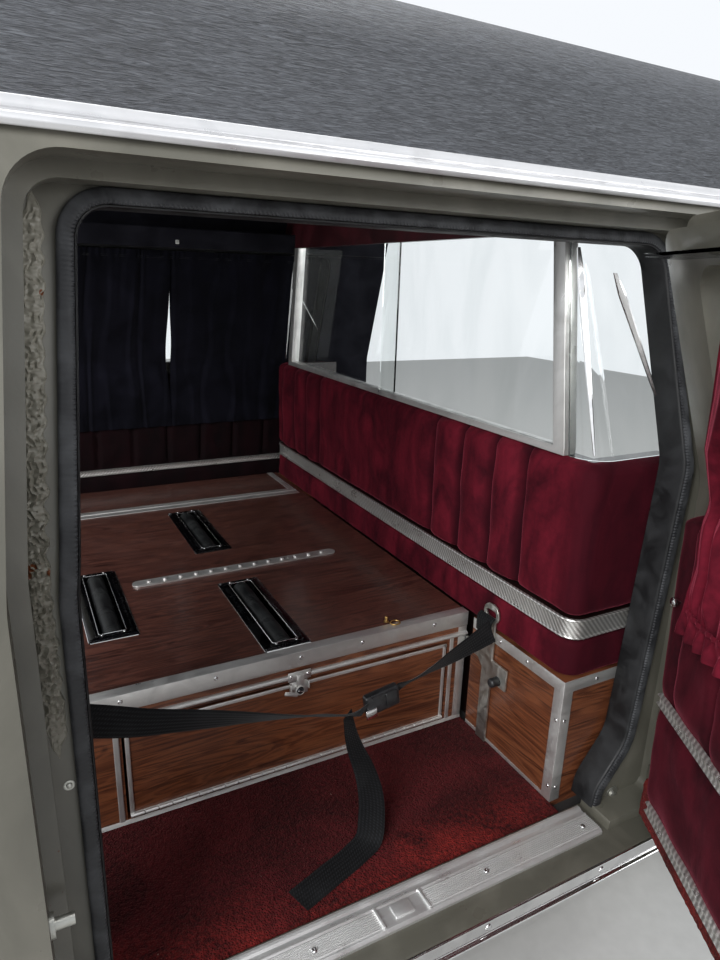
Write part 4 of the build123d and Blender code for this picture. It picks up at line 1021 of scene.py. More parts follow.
@dataclass
class Stage:
    """A pale floor, soft lamps and the camera at the photograph's view."""

    eye: tuple[float, float, float] = (-0.60, -1.56, 1.15)
    yaw: float = 28.1
    pitch: float = 16.75
    roll: float = -1.8
    lens: float = 25.2
    sensor: float = 36.0
    sky_light: float = 0.62
    floor_reach: float = 7.0
    floor_colour: Colour = (0.52, 0.52, 0.51)

    def build(self) -> None:
        """Makes the floor, the world, the lamps and the camera."""
        self.floor()
        self.world()
        self.lamp("key", (-3.6, -3.4, 3.0), (0.0, -0.2, 0.4), 2.4, 230)
        self.lamp("fill", (2.6, -4.4, 2.0), (0.0, -0.6, 0.4), 2.4, 90)
        self.lamp("top", (0.2, 0.4, 5.0), (0.0, 0.0, 1.0), 3.0, 120)
        self.camera()

    def floor(self) -> None:
        """A flat grid just under the part, pale with a faint mottle."""
        side = np.linspace(-self.floor_reach, self.floor_reach, 8)
        x, y = np.meshgrid(side, side, indexing="ij")
        mesher = Mesher().grid(np.stack([x, y, np.full_like(x, -0.002)], -1))
        mesh = bpy.data.meshes.new("floor")
        mesh.from_pydata(np.concatenate(mesher.points).tolist(), [], mesher.faces)
        g = Graph("pale_floor", Roughness=0.85)
        mottle = g.limits(g.noise(40, 5), 0.3, 0.7)
        tone = g.mix(mottle, toned(self.floor_colour, 0.93), self.floor_colour)
        g.done(Base_Color=tone)
        mesh.materials.append(g.material)
        linked("floor", mesh)

    def world(self) -> None:
        """An even soft light, seen as white by the camera, in metal and through glass."""
        world = bpy.data.worlds.new("soft_sky")
        bpy.context.scene.world = world
        world.use_nodes = True
        nodes, links = world.node_tree.nodes, world.node_tree.links
        sky = nodes["Background"]
        sky.inputs["Color"].default_value = (0.93, 0.96, 1.0, 1)
        path = nodes.new("ShaderNodeLightPath")
        seen = path.outputs["Is Camera Ray"]
        for ray in ("Is Glossy Ray", "Is Transmission Ray"):
            either = nodes.new("ShaderNodeMath")
            either.operation = "MAXIMUM"
            links.new(seen, either.inputs[0])
            links.new(path.outputs[ray], either.inputs[1])
            seen = either.outputs[0]
        strength = nodes.new("ShaderNodeMapRange")
        strength.inputs["To Min"].default_value = self.sky_light
        strength.inputs["To Max"].default_value = 1.0
        links.new(seen, strength.inputs["Value"])
        links.new(strength.outputs[0], sky.inputs["Strength"])

    def lamp(self, name: str, spot: Sequence[float], target: Sequence[float], size: float,
             power: float) -> None:
        """A square soft lamp that faces a point.

        Args:
            name: Its name.
            spot: Where it is.
            target: The point.
            size: Its side in metres.
            power: Its power in watts.
        """
        data = bpy.data.lights.new(name, "AREA")
        data.size, data.energy = size, power
        ahead = unit(np.array(target, float) - np.array(spot, float))
        side = unit(np.cross(ahead, UP))
        linked(name, data).matrix_world = posed(side, np.cross(side, ahead), -ahead, spot)

    def camera(self) -> None:
        """The camera, from its heading, its dip and its roll."""
        yaw, pitch, roll = (math.radians(a) for a in (self.yaw, self.pitch, self.roll))
        ahead = np.array([math.sin(yaw) * math.cos(pitch), math.cos(yaw) * math.cos(pitch), -math.sin(pitch)])
        level = np.array([math.cos(yaw), -math.sin(yaw), 0])
        down = np.cross(ahead, level)
        right = math.cos(roll) * level + math.sin(roll) * down
        below = -math.sin(roll) * level + math.cos(roll) * down
        data = bpy.data.cameras.new("photo_view")
        data.lens, data.sensor_width = self.lens, self.sensor
        data.clip_start, data.clip_end = 0.02, 100
        item = linked("photo_view", data)
        item.matrix_world = posed(right, -below, -ahead, self.eye)
        bpy.context.scene.camera = item


def posed(x_axis: Points, y_axis: Points, z_axis: Points, spot: Sequence[float]) -> Matrix:
    """A matrix of three axes and a place.

    Args:
        x_axis: Its first column.
        y_axis: Its second column.
        z_axis: Its third column.
        spot: Its place.

    Returns:
        The matrix.
    """
    table = np.eye(4)
    table[:3, 0], table[:3, 1], table[:3, 2], table[:3, 3] = x_axis, y_axis, z_axis, spot
    return Matrix(table.tolist())


# Shared forms


@dataclass(frozen=True)
class Side:
    """One side of the body: its surface, which leans in above the belt, and its door's hinge."""

    name: str
    sign: float
    angle: float
    belt: float = 0.85
    lean: float = 120 / 370
    bend: float = 0.06
    wall: float = 0.77
    hinge_x: float = 0.462
    hinge_out: float = 0.926

    def out(self, z: Points, face: float) -> Points:
        """Distance from the centreline at height z.

        Formula: face up to the belt's arc, face - r + sqrt(r * r - rise * rise) on the arc, whose radius
        grows with face, and face - lean * (z - belt) over it.

        Args:
            z: The heights.
            face: The distance below the belt.

        Returns:
            The distances.
        """
        radius = self.bend + face - self.wall
        tilt = math.atan(self.lean)
        foot = self.belt - radius * math.tan(tilt / 2)
        head = foot + radius * math.sin(tilt)
        rise = np.clip(z - foot, 0, head - foot)
        arc = face - radius + np.sqrt(radius ** 2 - rise ** 2)
        return np.where(z > head, face - self.lean * (z - self.belt), arc)

    def fixed(self, x: Points, z: Points, face: float, step: Points | float = 0.0) -> Points:
        """Points on the body side: across is sign * (out + step)."""
        x, z, step = np.broadcast_arrays(x, z, step)
        return np.stack([x, self.sign * (self.out(z, face) + step), z], -1)

    def hung(self, x: Points, z: Points, face: float, step: Points | float = 0.0) -> Points:
        """Points on the door: those of the closed door, turned about the hinge's upright axis.

        Args:
            x: Along the body, of the closed door.
            z: Their heights.
            face: The face that they lie on, as in out.
            step: Their distance outwards from it.

        Returns:
            Points, the coordinates last.
        """
        closed = self.fixed(x, z, face, step)
        turn = math.radians(self.angle)
        along, across = closed[..., 0] - self.hinge_x, closed[..., 1] - self.sign * self.hinge_out
        return np.stack([self.hinge_x + along * math.cos(turn) - across * math.sin(turn),
                         self.sign * self.hinge_out + along * math.sin(turn) + across * math.cos(turn),
                         closed[..., 2]], -1)


SIDES = (Side("right", -1, 62), Side("left", 1, 0))
# Outlines in x and height on a body side, and in x and y in plan, each corner with its radius
APERTURE = (
    (0.322, 0.09, 0), (0.336, 0.205, 0.06), (0.400, 0.292, 0.09), (0.415, 0.5, 0.3), (0.437, 0.85, 0.3),
    (0.442, 1.22, 0.042), (-0.512, 1.22, 0.042), (-0.556, 0.8, 0.3), (-0.560, 0.09, 0),
)
DOOR = (
    (0.482, 0.16, 0.03), (0.482, 1.25, 0.05), (-0.572, 1.25, 0.05), (-0.612, 0.85, 0.2), (-0.612, 0.16, 0.03),
)
BULKHEAD_PLAN = ((0.5, -0.765, 0), (0.28, -0.765, 0.036), (0.28, 0.765, 0.036), (0.5, 0.765, 0))
# The right curtain's front edge where it is drawn back: x and height
DRAWN_BACK = pairs(0.352, 0.60, 0.352, 0.70, 0.342, 0.75, 0.352, 0.82, 0.342, 0.93, 0.295, 1.01,
                   0.243, 1.105, 0.190, 1.20)


def spans(corners: Corners, heights: Points, inset: float) -> tuple[Points, Points]:
    """The rear and the front edge of an outline at given heights, by interpolation.

    Args:
        corners: The outline's corners.
        heights: The heights.
        inset: How far each edge is drawn in.

    Returns:
        The rear and the front edges' x.
    """
    line = rounded(corners, closed=True, step=0.003)
    front, rear = line[line[:, 0] > 0], line[line[:, 0] < 0]
    front, rear = front[np.argsort(front[:, 1])], rear[np.argsort(rear[:, 1])]
    return tuple(np.interp(heights, edge[:, 1], edge[:, 0]) + sign * inset
                 for edge, sign in ((rear, 1), (front, -1)))


def spread(length: float, radius: float, step: float) -> Points:
    """Distances along a length, closer near both ends for a rounding: radius * (1 - cos) there.

    Args:
        length: The length.
        radius: The rounding's radius.
        step: The spacing between the roundings.

    Returns:
        The distances.
    """
    near = radius * (1 - np.cos(np.linspace(0, np.pi / 2, 6)))
    middle = np.linspace(radius, length - radius, max(2, int((length - 2 * radius) / step) + 1))
    return np.concatenate([near[:-1], middle, (length - near[::-1])[1:]])


def swell(place: Points, length: float, radius: float) -> Points:
    """A pad's rise from its edge: a quarter circle, sqrt(1 - (1 - distance / radius) squared), then 1."""
    share = np.clip(np.minimum(place, length - place) / radius, 0, 1)
    return np.sqrt(1 - (1 - share) ** 2)


def bell(distance: Points, width: float) -> Points:
    """exp(-(distance / width) squared)."""
    return np.exp(-((distance / width) ** 2))


def pillow(mesher: Mesher, face: Surface, size: tuple[float, float], height: float, radius: float,
           relief: Surface | None = None, step: tuple[float, float] = (0.005, 0.008)) -> Mesher:
    """A pad on a surface: a rounded face and a flat back that share their edge.

    Formula: height at (u, v) is (height + relief(u, v)) * swell(u) * swell(v).

    Args:
        mesher: Takes the surfaces.
        face: Gives the point for u, v and a height.
        size: The two lengths.
        height: The pad's thickness.
        radius: Its edge's rounding.
        relief: Gives a further height for u and v.
        step: The spacing of the points both ways.

    Returns:
        The mesher.
    """
    u, v = np.meshgrid(spread(size[0], radius, step[0]), spread(size[1], radius, step[1]), indexing="ij")
    rise = swell(u, size[0], radius) * swell(v, size[1], radius)
    extra = relief(u, v) if relief else 0.0
    return mesher.grid(face(u, v, (height + extra) * rise)).grid(face(u, v, 0 * u))


def build_screws(name: str, body: str, *heads: Points) -> None:
    """Groups of screw heads as one bright piece."""
    Mesher().copies(np.concatenate(heads)).build(name, body, CHROME, "polished_trim")


# Partition


@dataclass(frozen=True)
class Partition:
    """The partition's velvet pads, wrapped round both corners, and the bright band between them."""

    pad: float = 0.030
    upper: tuple[float, float] = (0.5503, 0.847)
    lower: tuple[float, float] = (0.4253, 0.508)
    band: tuple[float, float] = (0.5083, 0.550)
    band_thick: float = 0.003
    edge: float = 0.020
    bulge_tall: float = 0.297
    pleat_groups: tuple[tuple[float, ...], ...] = PLEAT_GROUPS
    # Head and foot of each strip that stands for a reflection in a corner pane
    leans: tuple[Corners, ...] = (
        ((0.303, 0.645, 1.212), (0.306, 0.738, 0.862)), ((0.308, 0.728, 1.170), (0.448, 0.742, 0.945)),
    )

    def plan(self) -> tuple[Points, Points]:
        """The pads' outer line in plan and its outward unit normals."""
        line = rounded(BULKHEAD_PLAN, step=0.004)
        return line, -normals_of(line)

    def pleats(self, across: Points) -> Points:
        """Relief of the pleats over the distance from the centreline.

        Formula: a seam takes away a narrow bell and a wider shallow one; between two seams of a group
        the cloth rises by a half ellipse, sqrt(1 - t * t) with t from -1 to 1.

        Args:
            across: The distances.

        Returns:
            The relief in metres.
        """
        relief = np.zeros_like(across)
        for group in self.pleat_groups:
            for seam in group:
                relief -= 0.016 * bell(across - seam, 0.0080) + 0.009 * bell(across - seam, 0.024)
            for start, end in zip(group, group[1:]):
                t = (2 * across - start - end) / (end - start)
                relief += 0.007 * np.sqrt(np.clip(1 - t ** 2, 0, 1))
        return relief

    def wrapped(self, line: Points, outward: Points, base: float) -> Surface:
        """A surface that follows the plan, inside its line by the pad's thickness.

        Args:
            line: The plan's line.
            outward: Its outward unit normals.
            base: The height of the surface's foot.

        Returns:
            The surface.
        """
        travel = travelled(line)

        def face(u: Points, v: Points, height: Points) -> Points:
            """A point of the surface.

            Args:
                u: Distance along the plan.
                v: Height over the foot.
                height: Distance outwards.

            Returns:
                The point.
            """
            spot = np.stack([np.interp(u, travel, line[:, k]) for k in (0, 1)], -1)
            way = unit(np.stack([np.interp(u, travel, outward[:, k]) for k in (0, 1)], -1))
            spot = spot + way * (height - self.pad)[..., None]
            return np.concatenate([spot, (base + v)[..., None]], -1)

        return face

    def build(self) -> None:
        """Builds the two pads, the band and the chrome strips that stand for reflections in the corner panes.
        """
        line, outward = self.plan()
        travel = travelled(line)

        def pleated(u: Points, v: Points) -> Points:
            """Pleats, one bulge from foot to head and a slight unevenness of the stuffing.

            Args:
                u: Distance along the plan.
                v: Height over the foot.

            Returns:
                The relief in metres.
            """
            across = np.interp(u, travel, line[:, 1])
            uneven = wavering(np.stack([u, v], -1), 3, 0.16) * 0.0022
            bulge = 0.003 * np.sin(np.pi * v / self.bulge_tall)
            return self.pleats(across + 0.002 * np.sin(v * 21)) + uneven + bulge

        def plain(u: Points, v: Points) -> Points:
            """A slight unevenness of the stuffing."""
            return wavering(np.stack([u, v], -1), 5, 0.11) * 0.0016

        pads = Mesher()
        for (base, top), relief in ((self.upper, pleated), (self.lower, plain)):
            radius = self.edge if relief is pleated else self.edge / 2
            face = self.wrapped(line, outward, base)
            pillow(pads, face, (travel[-1], top - base), self.pad, radius, relief)
        piece = pads.build("partition_pads", "root", PAD_VELVET, "burgundy_velvet", ("partition_velvet",), 60)
        self.trim(line, outward)
        self.painted_reflections()

    def painted_reflections(self) -> None:
        """Two narrow bright strips that lean outwards inside each corner pane: painted reflections of the
        corner glass, made as chrome geometry.

        Formula: a thin section, its width shrinking from head to foot, follows a straight line.
        """
        mesher = Mesher()
        across = pairs(-0.5, 0, -0.3, 1, 0, 0.35, 0.3, 1, 0.5, 0, 0.3, -1, -0.3, -1)
        for sign in (-1, 1):
            for head, foot in self.leans:
                share = np.linspace(0, 1, 30)[:, None]
                path = np.array(head) + share * (np.array(foot) - np.array(head))
                path[:, 1] *= sign
                wide = np.interp(share, (0, 0.15, 0.8, 1), (0.006, 0.014, 0.008, 0.004))
                way = np.array([0.75, 0.66 * sign, 0])
                points = (path[:, None] + across[None, :, :1] * wide[..., None] * way
                          + across[None, :, 1:] * 0.0016 * np.array([0.66, -0.75 * sign, 0]))
                mesher.solid(points)
        mesher.build("corner_reflection_strips", "root", CHROME, "satin_aluminium", (), 30)

    def trim(self, line: Points, outward: Points) -> None:
        """The band: a flat middle between two rolled edges, carried along the plan.

        Args:
            line: The plan's line.
            outward: Its outward unit normals.
        """
        tall = self.band[1] - self.band[0]
        z = np.array([0, 0.001, 0.003, 0.005, 0.006, 0.008])
        proud = np.array([0.000, 0.0032, 0.0042, 0.0032, 0.0018, 0.0016])
        z = np.concatenate([z, tall - z[::-1]])
        proud = np.concatenate([proud, proud[::-1]])
        back = -self.band_thick - 0.0015
        profile = np.concatenate([np.stack([proud - self.band_thick, z], 1), [[back, tall], [back, 0]]])
        path = np.column_stack([line, np.full(len(line), self.band[0])])
        side = np.column_stack([outward, np.zeros(len(line))])
        Mesher().solid(carried(profile, path, side, UP)).build(
            "partition_band", "root", HATCHED, "hatched_stainless", ("trim_band",), 30)


# Doors


@dataclass(frozen=True)
class DoorLining:
    """The inside of a door: padded card, strips, curtain, kick carpet, knob and outer handle."""

    side: Side
    cloth: Finish
    padding_cloth: Finish
    card: tuple[float, float] = (0.268, 0.805)
    card_face: float = 0.8457
    card_thick: float = 0.0357
    seams: tuple[float, ...] = (0.358, 0.240, 0.122, 0.004, -0.114, -0.232, -0.350, -0.468)
    strips: tuple[float, ...] = (0.268, 0.470)
    strip_tall: float = 0.022
    strip_face: float = 0.8120
    curtain: tuple[float, float] = (0.632, 1.1975)
    curtain_face: float = 0.8020
    columns: int = 700
    folds: int = 21
    depth: float = 0.0085
    elastic_z: float = 0.676
    knob: tuple[float, float] = (0.380, 0.668)
    carpet: tuple[float, float] = (0.1885, 0.2677)
    frill: bool = True
    slit: float | None = None

    def build(self) -> None:
        """Builds every piece of the lining."""
        self.padding()
        self.trims()
        self.hangings()
        if self.frill:
            self.elastic()
        self.kick()
        self.handle()

    def node(self, name: str) -> str:
        """The CAD node of this door with that name."""
        return f"{name}_{self.side.name}"

    def body(self) -> str:
        """The CAD body of this door."""
        return f"door_{self.side.name}"

    def panel(self, heights: Points, rear: Points, front: Points) -> tuple[Surface, float]:
        """A surface that stands on the card's face, between a rear and a front edge.

        Args:
            heights: Heights from its foot to its head.
            rear: Its rear edge's x at them.
            front: Its front edge's x at them.

        Returns:
            The surface and its mean width.
        """
        wide = float((front - rear).mean())

        def face(u: Points, v: Points, height: Points) -> Points:
            """A point of the surface.

            Args:
                u: Distance from the rear edge.
                v: Height over the foot.
                height: Distance inwards.

            Returns:
                The point.
            """
            z = heights[0] + v
            x = np.interp(z, heights, rear) + u / wide * np.interp(z, heights, front - rear)
            return self.side.hung(x, z, self.card_face, -height)

        return face, wide

    def padding(self) -> None:
        """The card's pad: tucked in under the strips, pleated over the upper one."""
        base, top = self.card
        heights = np.linspace(base, top, 40)
        rear, front = spans(APERTURE, heights, 0.016)

        def relief(u: Points, v: Points) -> Points:
            """Tucks under the strips, pleats over the upper strip and an uneven stuffing.

            Args:
                u: Distance from the rear edge.
                v: Height over the foot.

            Returns:
                The relief in metres.
            """
            z, x = base + v, float(rear.mean()) + u
            rise = 0.006 + 0.0016 * wavering(np.stack([u, v], -1), 11, 0.12)
            for strip in self.strips:
                rise = rise - 0.0095 * bell(z - strip - self.strip_tall / 2, 0.021)
            above = 1 / (1 + np.exp(-(z - self.strips[1] - self.strip_tall) / 0.006))
            for seam in self.seams:
                rise = rise - above * 0.010 * bell(x - seam, 0.007)
            return rise

        face, wide = self.panel(heights, rear, front)
        pad = pillow(Mesher(), face, (wide, top - base), self.card_thick, 0.012, relief, (0.007, 0.007))
        name = self.node("door_card")
        piece = pad.build(f"{name}.pad", self.body(), self.padding_cloth, "burgundy_velvet", (name,), 60)

    def strip(self, mesher: Mesher, base: float, tall: float, face: float, proud: float) -> None:
        """A bright strip across the door: flat between two rolled edges.

        Args:
            mesher: Takes the strip.
            base: Its foot's height.
            tall: Its height.
            face: The face that it lies on.
            proud: Its thickness.
        """
        rear, front = spans(APERTURE, np.array([base + tall / 2]), 0.019)
        x = np.linspace(rear[0], front[0], 60)[:, None]
        z = np.array([0, 0.001, 0.0028, 0.0045, 0.0055, 0.0065])
        rise = np.array([0, 0.8, 1.25, 0.8, 0.45, 0.4]) * proud
        z = np.concatenate([z, tall - z[::-1]])[None]
        rise = np.concatenate([rise, rise[::-1]])[None]
        front_face = self.side.hung(x, base + z, face, -rise)
        back = self.side.hung(x, base + z[:, ::-1], face, 0 * rise)
        mesher.solid(np.concatenate([front_face, back[:, 1:-1]], 1))

    def trims(self) -> None:
        """Two strips on the card and the curtain rail at the head."""
        mesher = Mesher()
        for base in self.strips:
            self.strip(mesher, base, self.strip_tall, self.strip_face, 0.0068)
        name = self.node("door_trims")
        mesher.build(f"{name}.bands", self.body(), HATCHED, "hatched_stainless", (name,), 35)
        rail = Mesher()
        self.strip(rail, 1.188, 0.010, self.card_face, 0.040)
        # On the left door the metal rail takes the dark cloth finish, as painted shade.
        finish = DARK_METAL if self.frill else HEADLINING
        rail.build(self.node("curtain_rail"), self.body(), finish, "hatched_stainless", (), 35)

    def hangings(self) -> None:
        """The curtain, in one width or in two that part at a slit."""
        base, top = self.curtain
        height = np.linspace(base, top, 110)
        rear, front = spans(APERTURE, np.clip(height, base, 1.15), 0.022)
        if self.frill:
            drawn = np.interp(height, DRAWN_BACK[:, 1], DRAWN_BACK[:, 0])
            front = np.minimum(front, drawn)
        widths = ((0.0, 1.0),) if self.slit is None else ((0.0, 0.5), (0.5, 1.0))
        for number, (start, end) in enumerate(widths):
            first, last = rear, front
            if self.slit is not None:
                gap = 0.009 * bell(height - 0.90, 0.115)
                first = rear if number == 0 else self.slit + gap
                last = self.slit - gap if number == 0 else front
            self.width(number, height, first, last, end - start)

    def width(self, number: int, height: Points, rear: Points, front: Points, share: float) -> None:
        """One width of curtain.

        Formula: the depth of a fold is amplitude * sin(p + 0.6 * sin(p)) with p running over the folds,
        wandering slowly with height, and the amplitude itself a slow sine of p; near the elastic and the
        head it gives way to finer and shallower gathers, and below the elastic to a ruffle.

        Args:
            number: Which width.
            height: The rows' heights.
            rear: Their rear edges.
            front: Their front edges.
            share: The share of the folds that it takes.
        """
        count = int(self.columns * share)
        t, z = np.linspace(0, 1, count)[None], height[:, None]
        x = rear[:, None] + t * (front - rear)[:, None]
        wander = wavering(np.stack(np.broadcast_arrays(t * 3 + number, z * 1.6), -1), 17 + number, 0.8)
        phase = 2 * np.pi * (self.folds * share * t + 0.32 * wander)
        wide_fold = np.sin(phase + 0.6 * np.sin(phase)) * (0.75 + 0.35 * np.sin(phase * 0.37 + number + 1))
        fine = np.sin(phase * 2.7 + 2.0 * wander)
        pinch = bell(z - self.elastic_z, 0.022) if self.frill else 0 * z
        tight = np.maximum(pinch, 0.75 * bell(z - self.curtain[1], 0.03))
        ruffle = np.clip((self.elastic_z - z) / 0.03, 0, 1) if self.frill else 0 * z
        depth = self.depth * (1 - 0.8 * tight) * (1 - ruffle) * wide_fold + 0.0026 * tight * fine
        depth = depth + 0.0062 * ruffle * np.sin(phase * 1.6 + wander)
        tuck = 1 / (1 + np.exp((z - 0.822) / 0.008))
        heading = 1 / (1 + np.exp((1.182 - z) / 0.002))
        step = -0.001 - 0.006 * tuck - 0.004 * heading - depth + 0.003 * pinch
        points = self.side.hung(x, z, self.curtain_face, step)
        name = self.node("door_curtain")
        sheet = Mesher().grid(points).build(
            f"{name}.width{number}", self.body(), self.cloth, SLOTS[name], (name,), 180)

    def elastic(self) -> None:
        """The curtain's knob on the card and the gathered band that it holds.

        Formula: the band is a thin rounded strip that dips with the folds; the knob is a turned dome.
        """
        x = np.linspace(0.335, -0.500, 300)
        turn = circle(10)
        wave = 0.0012 * np.sin(x * 420) - 0.004
        z = self.elastic_z + 0.0042 * np.sin(turn)[None] + 0.0015 * np.sin(x * 60)[:, None]
        points = self.side.hung(x[:, None], z, 0.7965, wave[:, None] + 0.0016 * np.cos(turn)[None])
        Mesher().solid(points).build(
            self.node("curtain_band"), self.body(), self.cloth, SLOTS[self.node("door_curtain")], (), 60)
        profile = pairs(0.0035, 0, 0.0035, 0.008, 0.0075, 0.010, 0.0090, 0.014, 0.0078, 0.018, 0.0040, 0.020,
                        0, 0.0203)
        x, z = (np.array([value]) for value in self.knob)
        spot = self.side.hung(x, z, 0.8110)[0]
        ahead = self.side.hung(x, z, 0.8010)[0] - spot
        Mesher().solid(turned(profile, spot, ahead, 20)).build(
            self.node("curtain_knob"), self.body(), CHROME, "polished_trim")

    def kick(self) -> None:
        """The carpet on the door's foot, with its nap standing out and its edge turned in."""
        base, top = self.carpet
        heights = np.linspace(base, top, 12)
        face, wide = self.panel(heights, *spans(DOOR, heights, 0.028))

        def nap(u: Points, v: Points) -> Points:
            """An uneven pile."""
            return 0.0012 * wavering(np.stack([u, v], -1), 23, 0.02)

        name = self.node("door_kick_carpet")
        pillow(Mesher(), face, (wide, top - base), 0.0085, 0.006, nap, (0.006, 0.005)).build(
            f"{name}.pile", self.body(), CARPET, "red_carpet", (name,), 60)

    def handle(self) -> None:
        """The outer handle: a rounded grip on two feet, on the closed door's skin, turned with the door."""
        mesher = Mesher()
        grip, foot = (0.150, 0.011, 0.024), (0.026, 0.0125, 0.022)
        for x, out, size in ((-0.520, 0.956, grip), (-0.580, 0.946, foot), (-0.460, 0.946, foot)):
            shape = block((x, 0, 0.770), size, 0.006)
            mesher.solid(self.side.hung(shape[..., 0], shape[..., 2], out, shape[..., 1]))
        mesher.build(self.node("door_handle"), self.body(), CHROME, "polished_trim")


# Doorway


TREAD_SECTION = pairs(
    0, 0.0004, 0.0001, 0.009, 0.0022, 0.0126, 0.0065, 0.0134, 0.0108, 0.0126, 0.0140, 0.0098, 0.020, 0.0098,
    0.0220, 0.0118, 0.0235, 0.0121, 0.0250, 0.0118, 0.0270, 0.0098, 0.0640, 0.0098, 0.0680, 0.0055,
    0.0681, 0.0004,
)


@dataclass(frozen=True)
class Doorway:
    """What lines a doorway: ribbed seal and its lip, tread plate, seam sealer, dark cloth, bolts, screws."""

    side: Side
    seal_face: float = 0.8203
    seal_thick: float = 0.0117
    seal_wide: float = 0.020
    tread: tuple[float, float] = (-0.550, 0.312)
    tread_in: float = 0.806
    tread_foot: float = 0.1503
    tread_screws: tuple[float, ...] = (-0.520, -0.276, 0.053, 0.282)
    ribs: tuple[float, float] = (0.029, 0.062)
    rib_count: int = 9
    badge: tuple[float, float] = (-0.158, -0.076)
    badge_out: float = 0.8495
    jamb_bolts: Corners = ((0.392, 0.170, 1.25), (0.411, 0.289, 0.5), (-0.585, 0.560, 0.5))
    moulding_screws: tuple[float, ...] = (-0.52, -0.26, 0.004, 0.26, 0.50)

    def build(self) -> None:
        """Builds every piece of the doorway."""
        self.tread_plate()
        self.sealer()
        self.lining()
        self.bolts()

    def sealer(self) -> None:
        """The lumpy bead of seam sealer down the rear jamb.

        Formula: a half ellipse, whose height is multiplied by smooth noise of two scales, is carried down
        the jamb beside the step; its middle wanders a little.
        """
        z = np.linspace(1.235, 0.600, 460)
        edge = np.interp(z, (0.61, 0.85, 1.25), (-0.612, -0.612, -0.572)) + 0.020
        turn = np.linspace(0, np.pi, 17)
        spots = np.stack(np.broadcast_arrays(z[:, None], 0.03 * turn[None]), -1)
        lumps = 0.9 + 0.6 * wavering(spots, 41, 0.022) + 0.6 * wavering(spots, 42, 0.008)
        thick = np.interp(z, (0.60, 0.64, 0.68, 0.88, 0.98, 1.2, 1.235),
                          (0.0, 0.5, 0.95, 1.0, 0.65, 0.45, 0.0))
        rise = 0.0080 * thick[:, None] * np.sin(turn)[None] * np.clip(lumps, 0.08, 1.8) + 0.0001
        wide = 0.0115 * np.clip(thick * 2.2, 0.05, 1)
        x = edge[:, None] + wide[:, None] * np.cos(turn)[None]
        x = x + 0.0025 * wavering(z[:, None], 44, 0.05)[:, None]
        points = self.side.fixed(x, z[:, None], self.seal_face, rise)
        back = self.side.fixed(x[:, ::-1], z[:, None], self.seal_face, 0 * rise)
        Mesher().solid(np.concatenate([points, back[:, 1:-1]], 1)).build(
            f"seam_sealer_{self.side.name}", "root", SEALER, "body_paint", (), 60)

    def lining(self) -> None:
        """Dark cloth over the inside of the header and of the front pillar.

        Formula: a thin section follows the wall's lean and turns over the header to the roof lining.
        """
        mesher = Mesher()
        z = np.array([1.2215, 1.235, 1.250, 1.265, 1.2753])
        wall = self.side.wall
        foot = np.stack([self.side.out(z, wall) - 0.0004, z], 1)
        top, inner_edge, under, over, front_end = foot[-1, 0], 0.728, 1.2757, 1.2785, 0.658
        lip = pairs(top + 0.030, under, inner_edge, under, inner_edge, over, top - 0.001, over)
        section = np.concatenate([foot, lip, foot[::-1] - (0.0032, 0)])
        for start, end in ((-0.818, 0.2995), (0.3205, front_end)):
            x = np.linspace(start, end, 24)
            across, height = self.side.sign * section[None, :, 0], section[None, :, 1]
            mesher.solid(np.stack(np.broadcast_arrays(x[:, None], across, height), -1))
        heights = np.linspace(0.432, 1.2205, 60)
        front = spans(APERTURE, heights, 0.004)[1]
        across = np.linspace(0, 1, 8)
        first = np.maximum(front + 0.008, 0.56 if self.side.sign < 0 else 0.0)[:, None]
        x = first + across[None] * (front_end - first)
        inner = self.side.fixed(x, heights[:, None], wall, -0.0040)
        outer = self.side.fixed(x[:, ::-1], heights[:, None], wall, -0.0004)
        mesher.solid(np.concatenate([inner, outer], 1))
        mesher.build(f"side_lining_{self.side.name}", "root", HEADLINING, "dark_headlining", (), 50)

    def bolts(self) -> None:
        """The jambs' bolts, the moulding's screws and the header's button."""
        sign = self.side.sign
        washer = pairs(0.0135, 0, 0.0135, 0.0006, 0.0105, 0.0016, 0.0080, 0.0012, 0.0066, 0.0010,
                       0.0066, 0.0040, 0.0050, 0.0050, 0, 0.0052)
        mesher = Mesher()
        for x, z, size in self.jamb_bolts:
            seat = self.side.fixed(np.array([x]), np.array([z]), self.seal_face)[0]
            mesher.solid(turned(washer * size, seat, sign * ACROSS, 20))
        mesher.build(f"jamb_bolts_{self.side.name}", "root", ZINC, "zinc_plate", (), 35)
        spots = [(x, sign * 0.9245, 0.138) for x in self.moulding_screws]
        build_screws(f"moulding_screws_{self.side.name}", "root", screw_heads(spots, (0, sign, 0), 0.0062))
        out = float(self.side.out(np.array(1.238), self.side.wall) - 0.0075)
        button = block((-0.088, sign * out, 1.238), (0.011, 0.006, 0.012), 0.0018)
        Mesher().solid(button).build(f"header_button_{self.side.name}", "root", KNOB, "buckle_plastic")

    def seal_grid(self, mesher: Mesher) -> None:
        """The bulb seal, carried round the aperture.

        Formula: the aperture's line, moved half a seal's width outwards, carries a rounded bulb whose
        second coordinate lies outwards from the flange.

        Args:
            mesher: Takes the bulb.
        """
        line = rounded(APERTURE, step=0.004)
        line = line[line[:, 1] > 0.150]
        outward = normals_of(line)
        bulb = superellipse(self.seal_wide - 0.001, self.seal_thick, 0.6, 18)
        flat = line[:, None] + outward[:, None] * (bulb[None, :, :1] + self.seal_wide / 2)
        depth = np.broadcast_to(bulb[None, :, 1] + self.seal_thick / 2, flat.shape[:2])
        keep = np.clip(flat[..., 0], -0.5815, 0.4515)
        mesher.solid(self.side.fixed(keep, np.minimum(flat[..., 1], 1.2395), self.seal_face, depth))

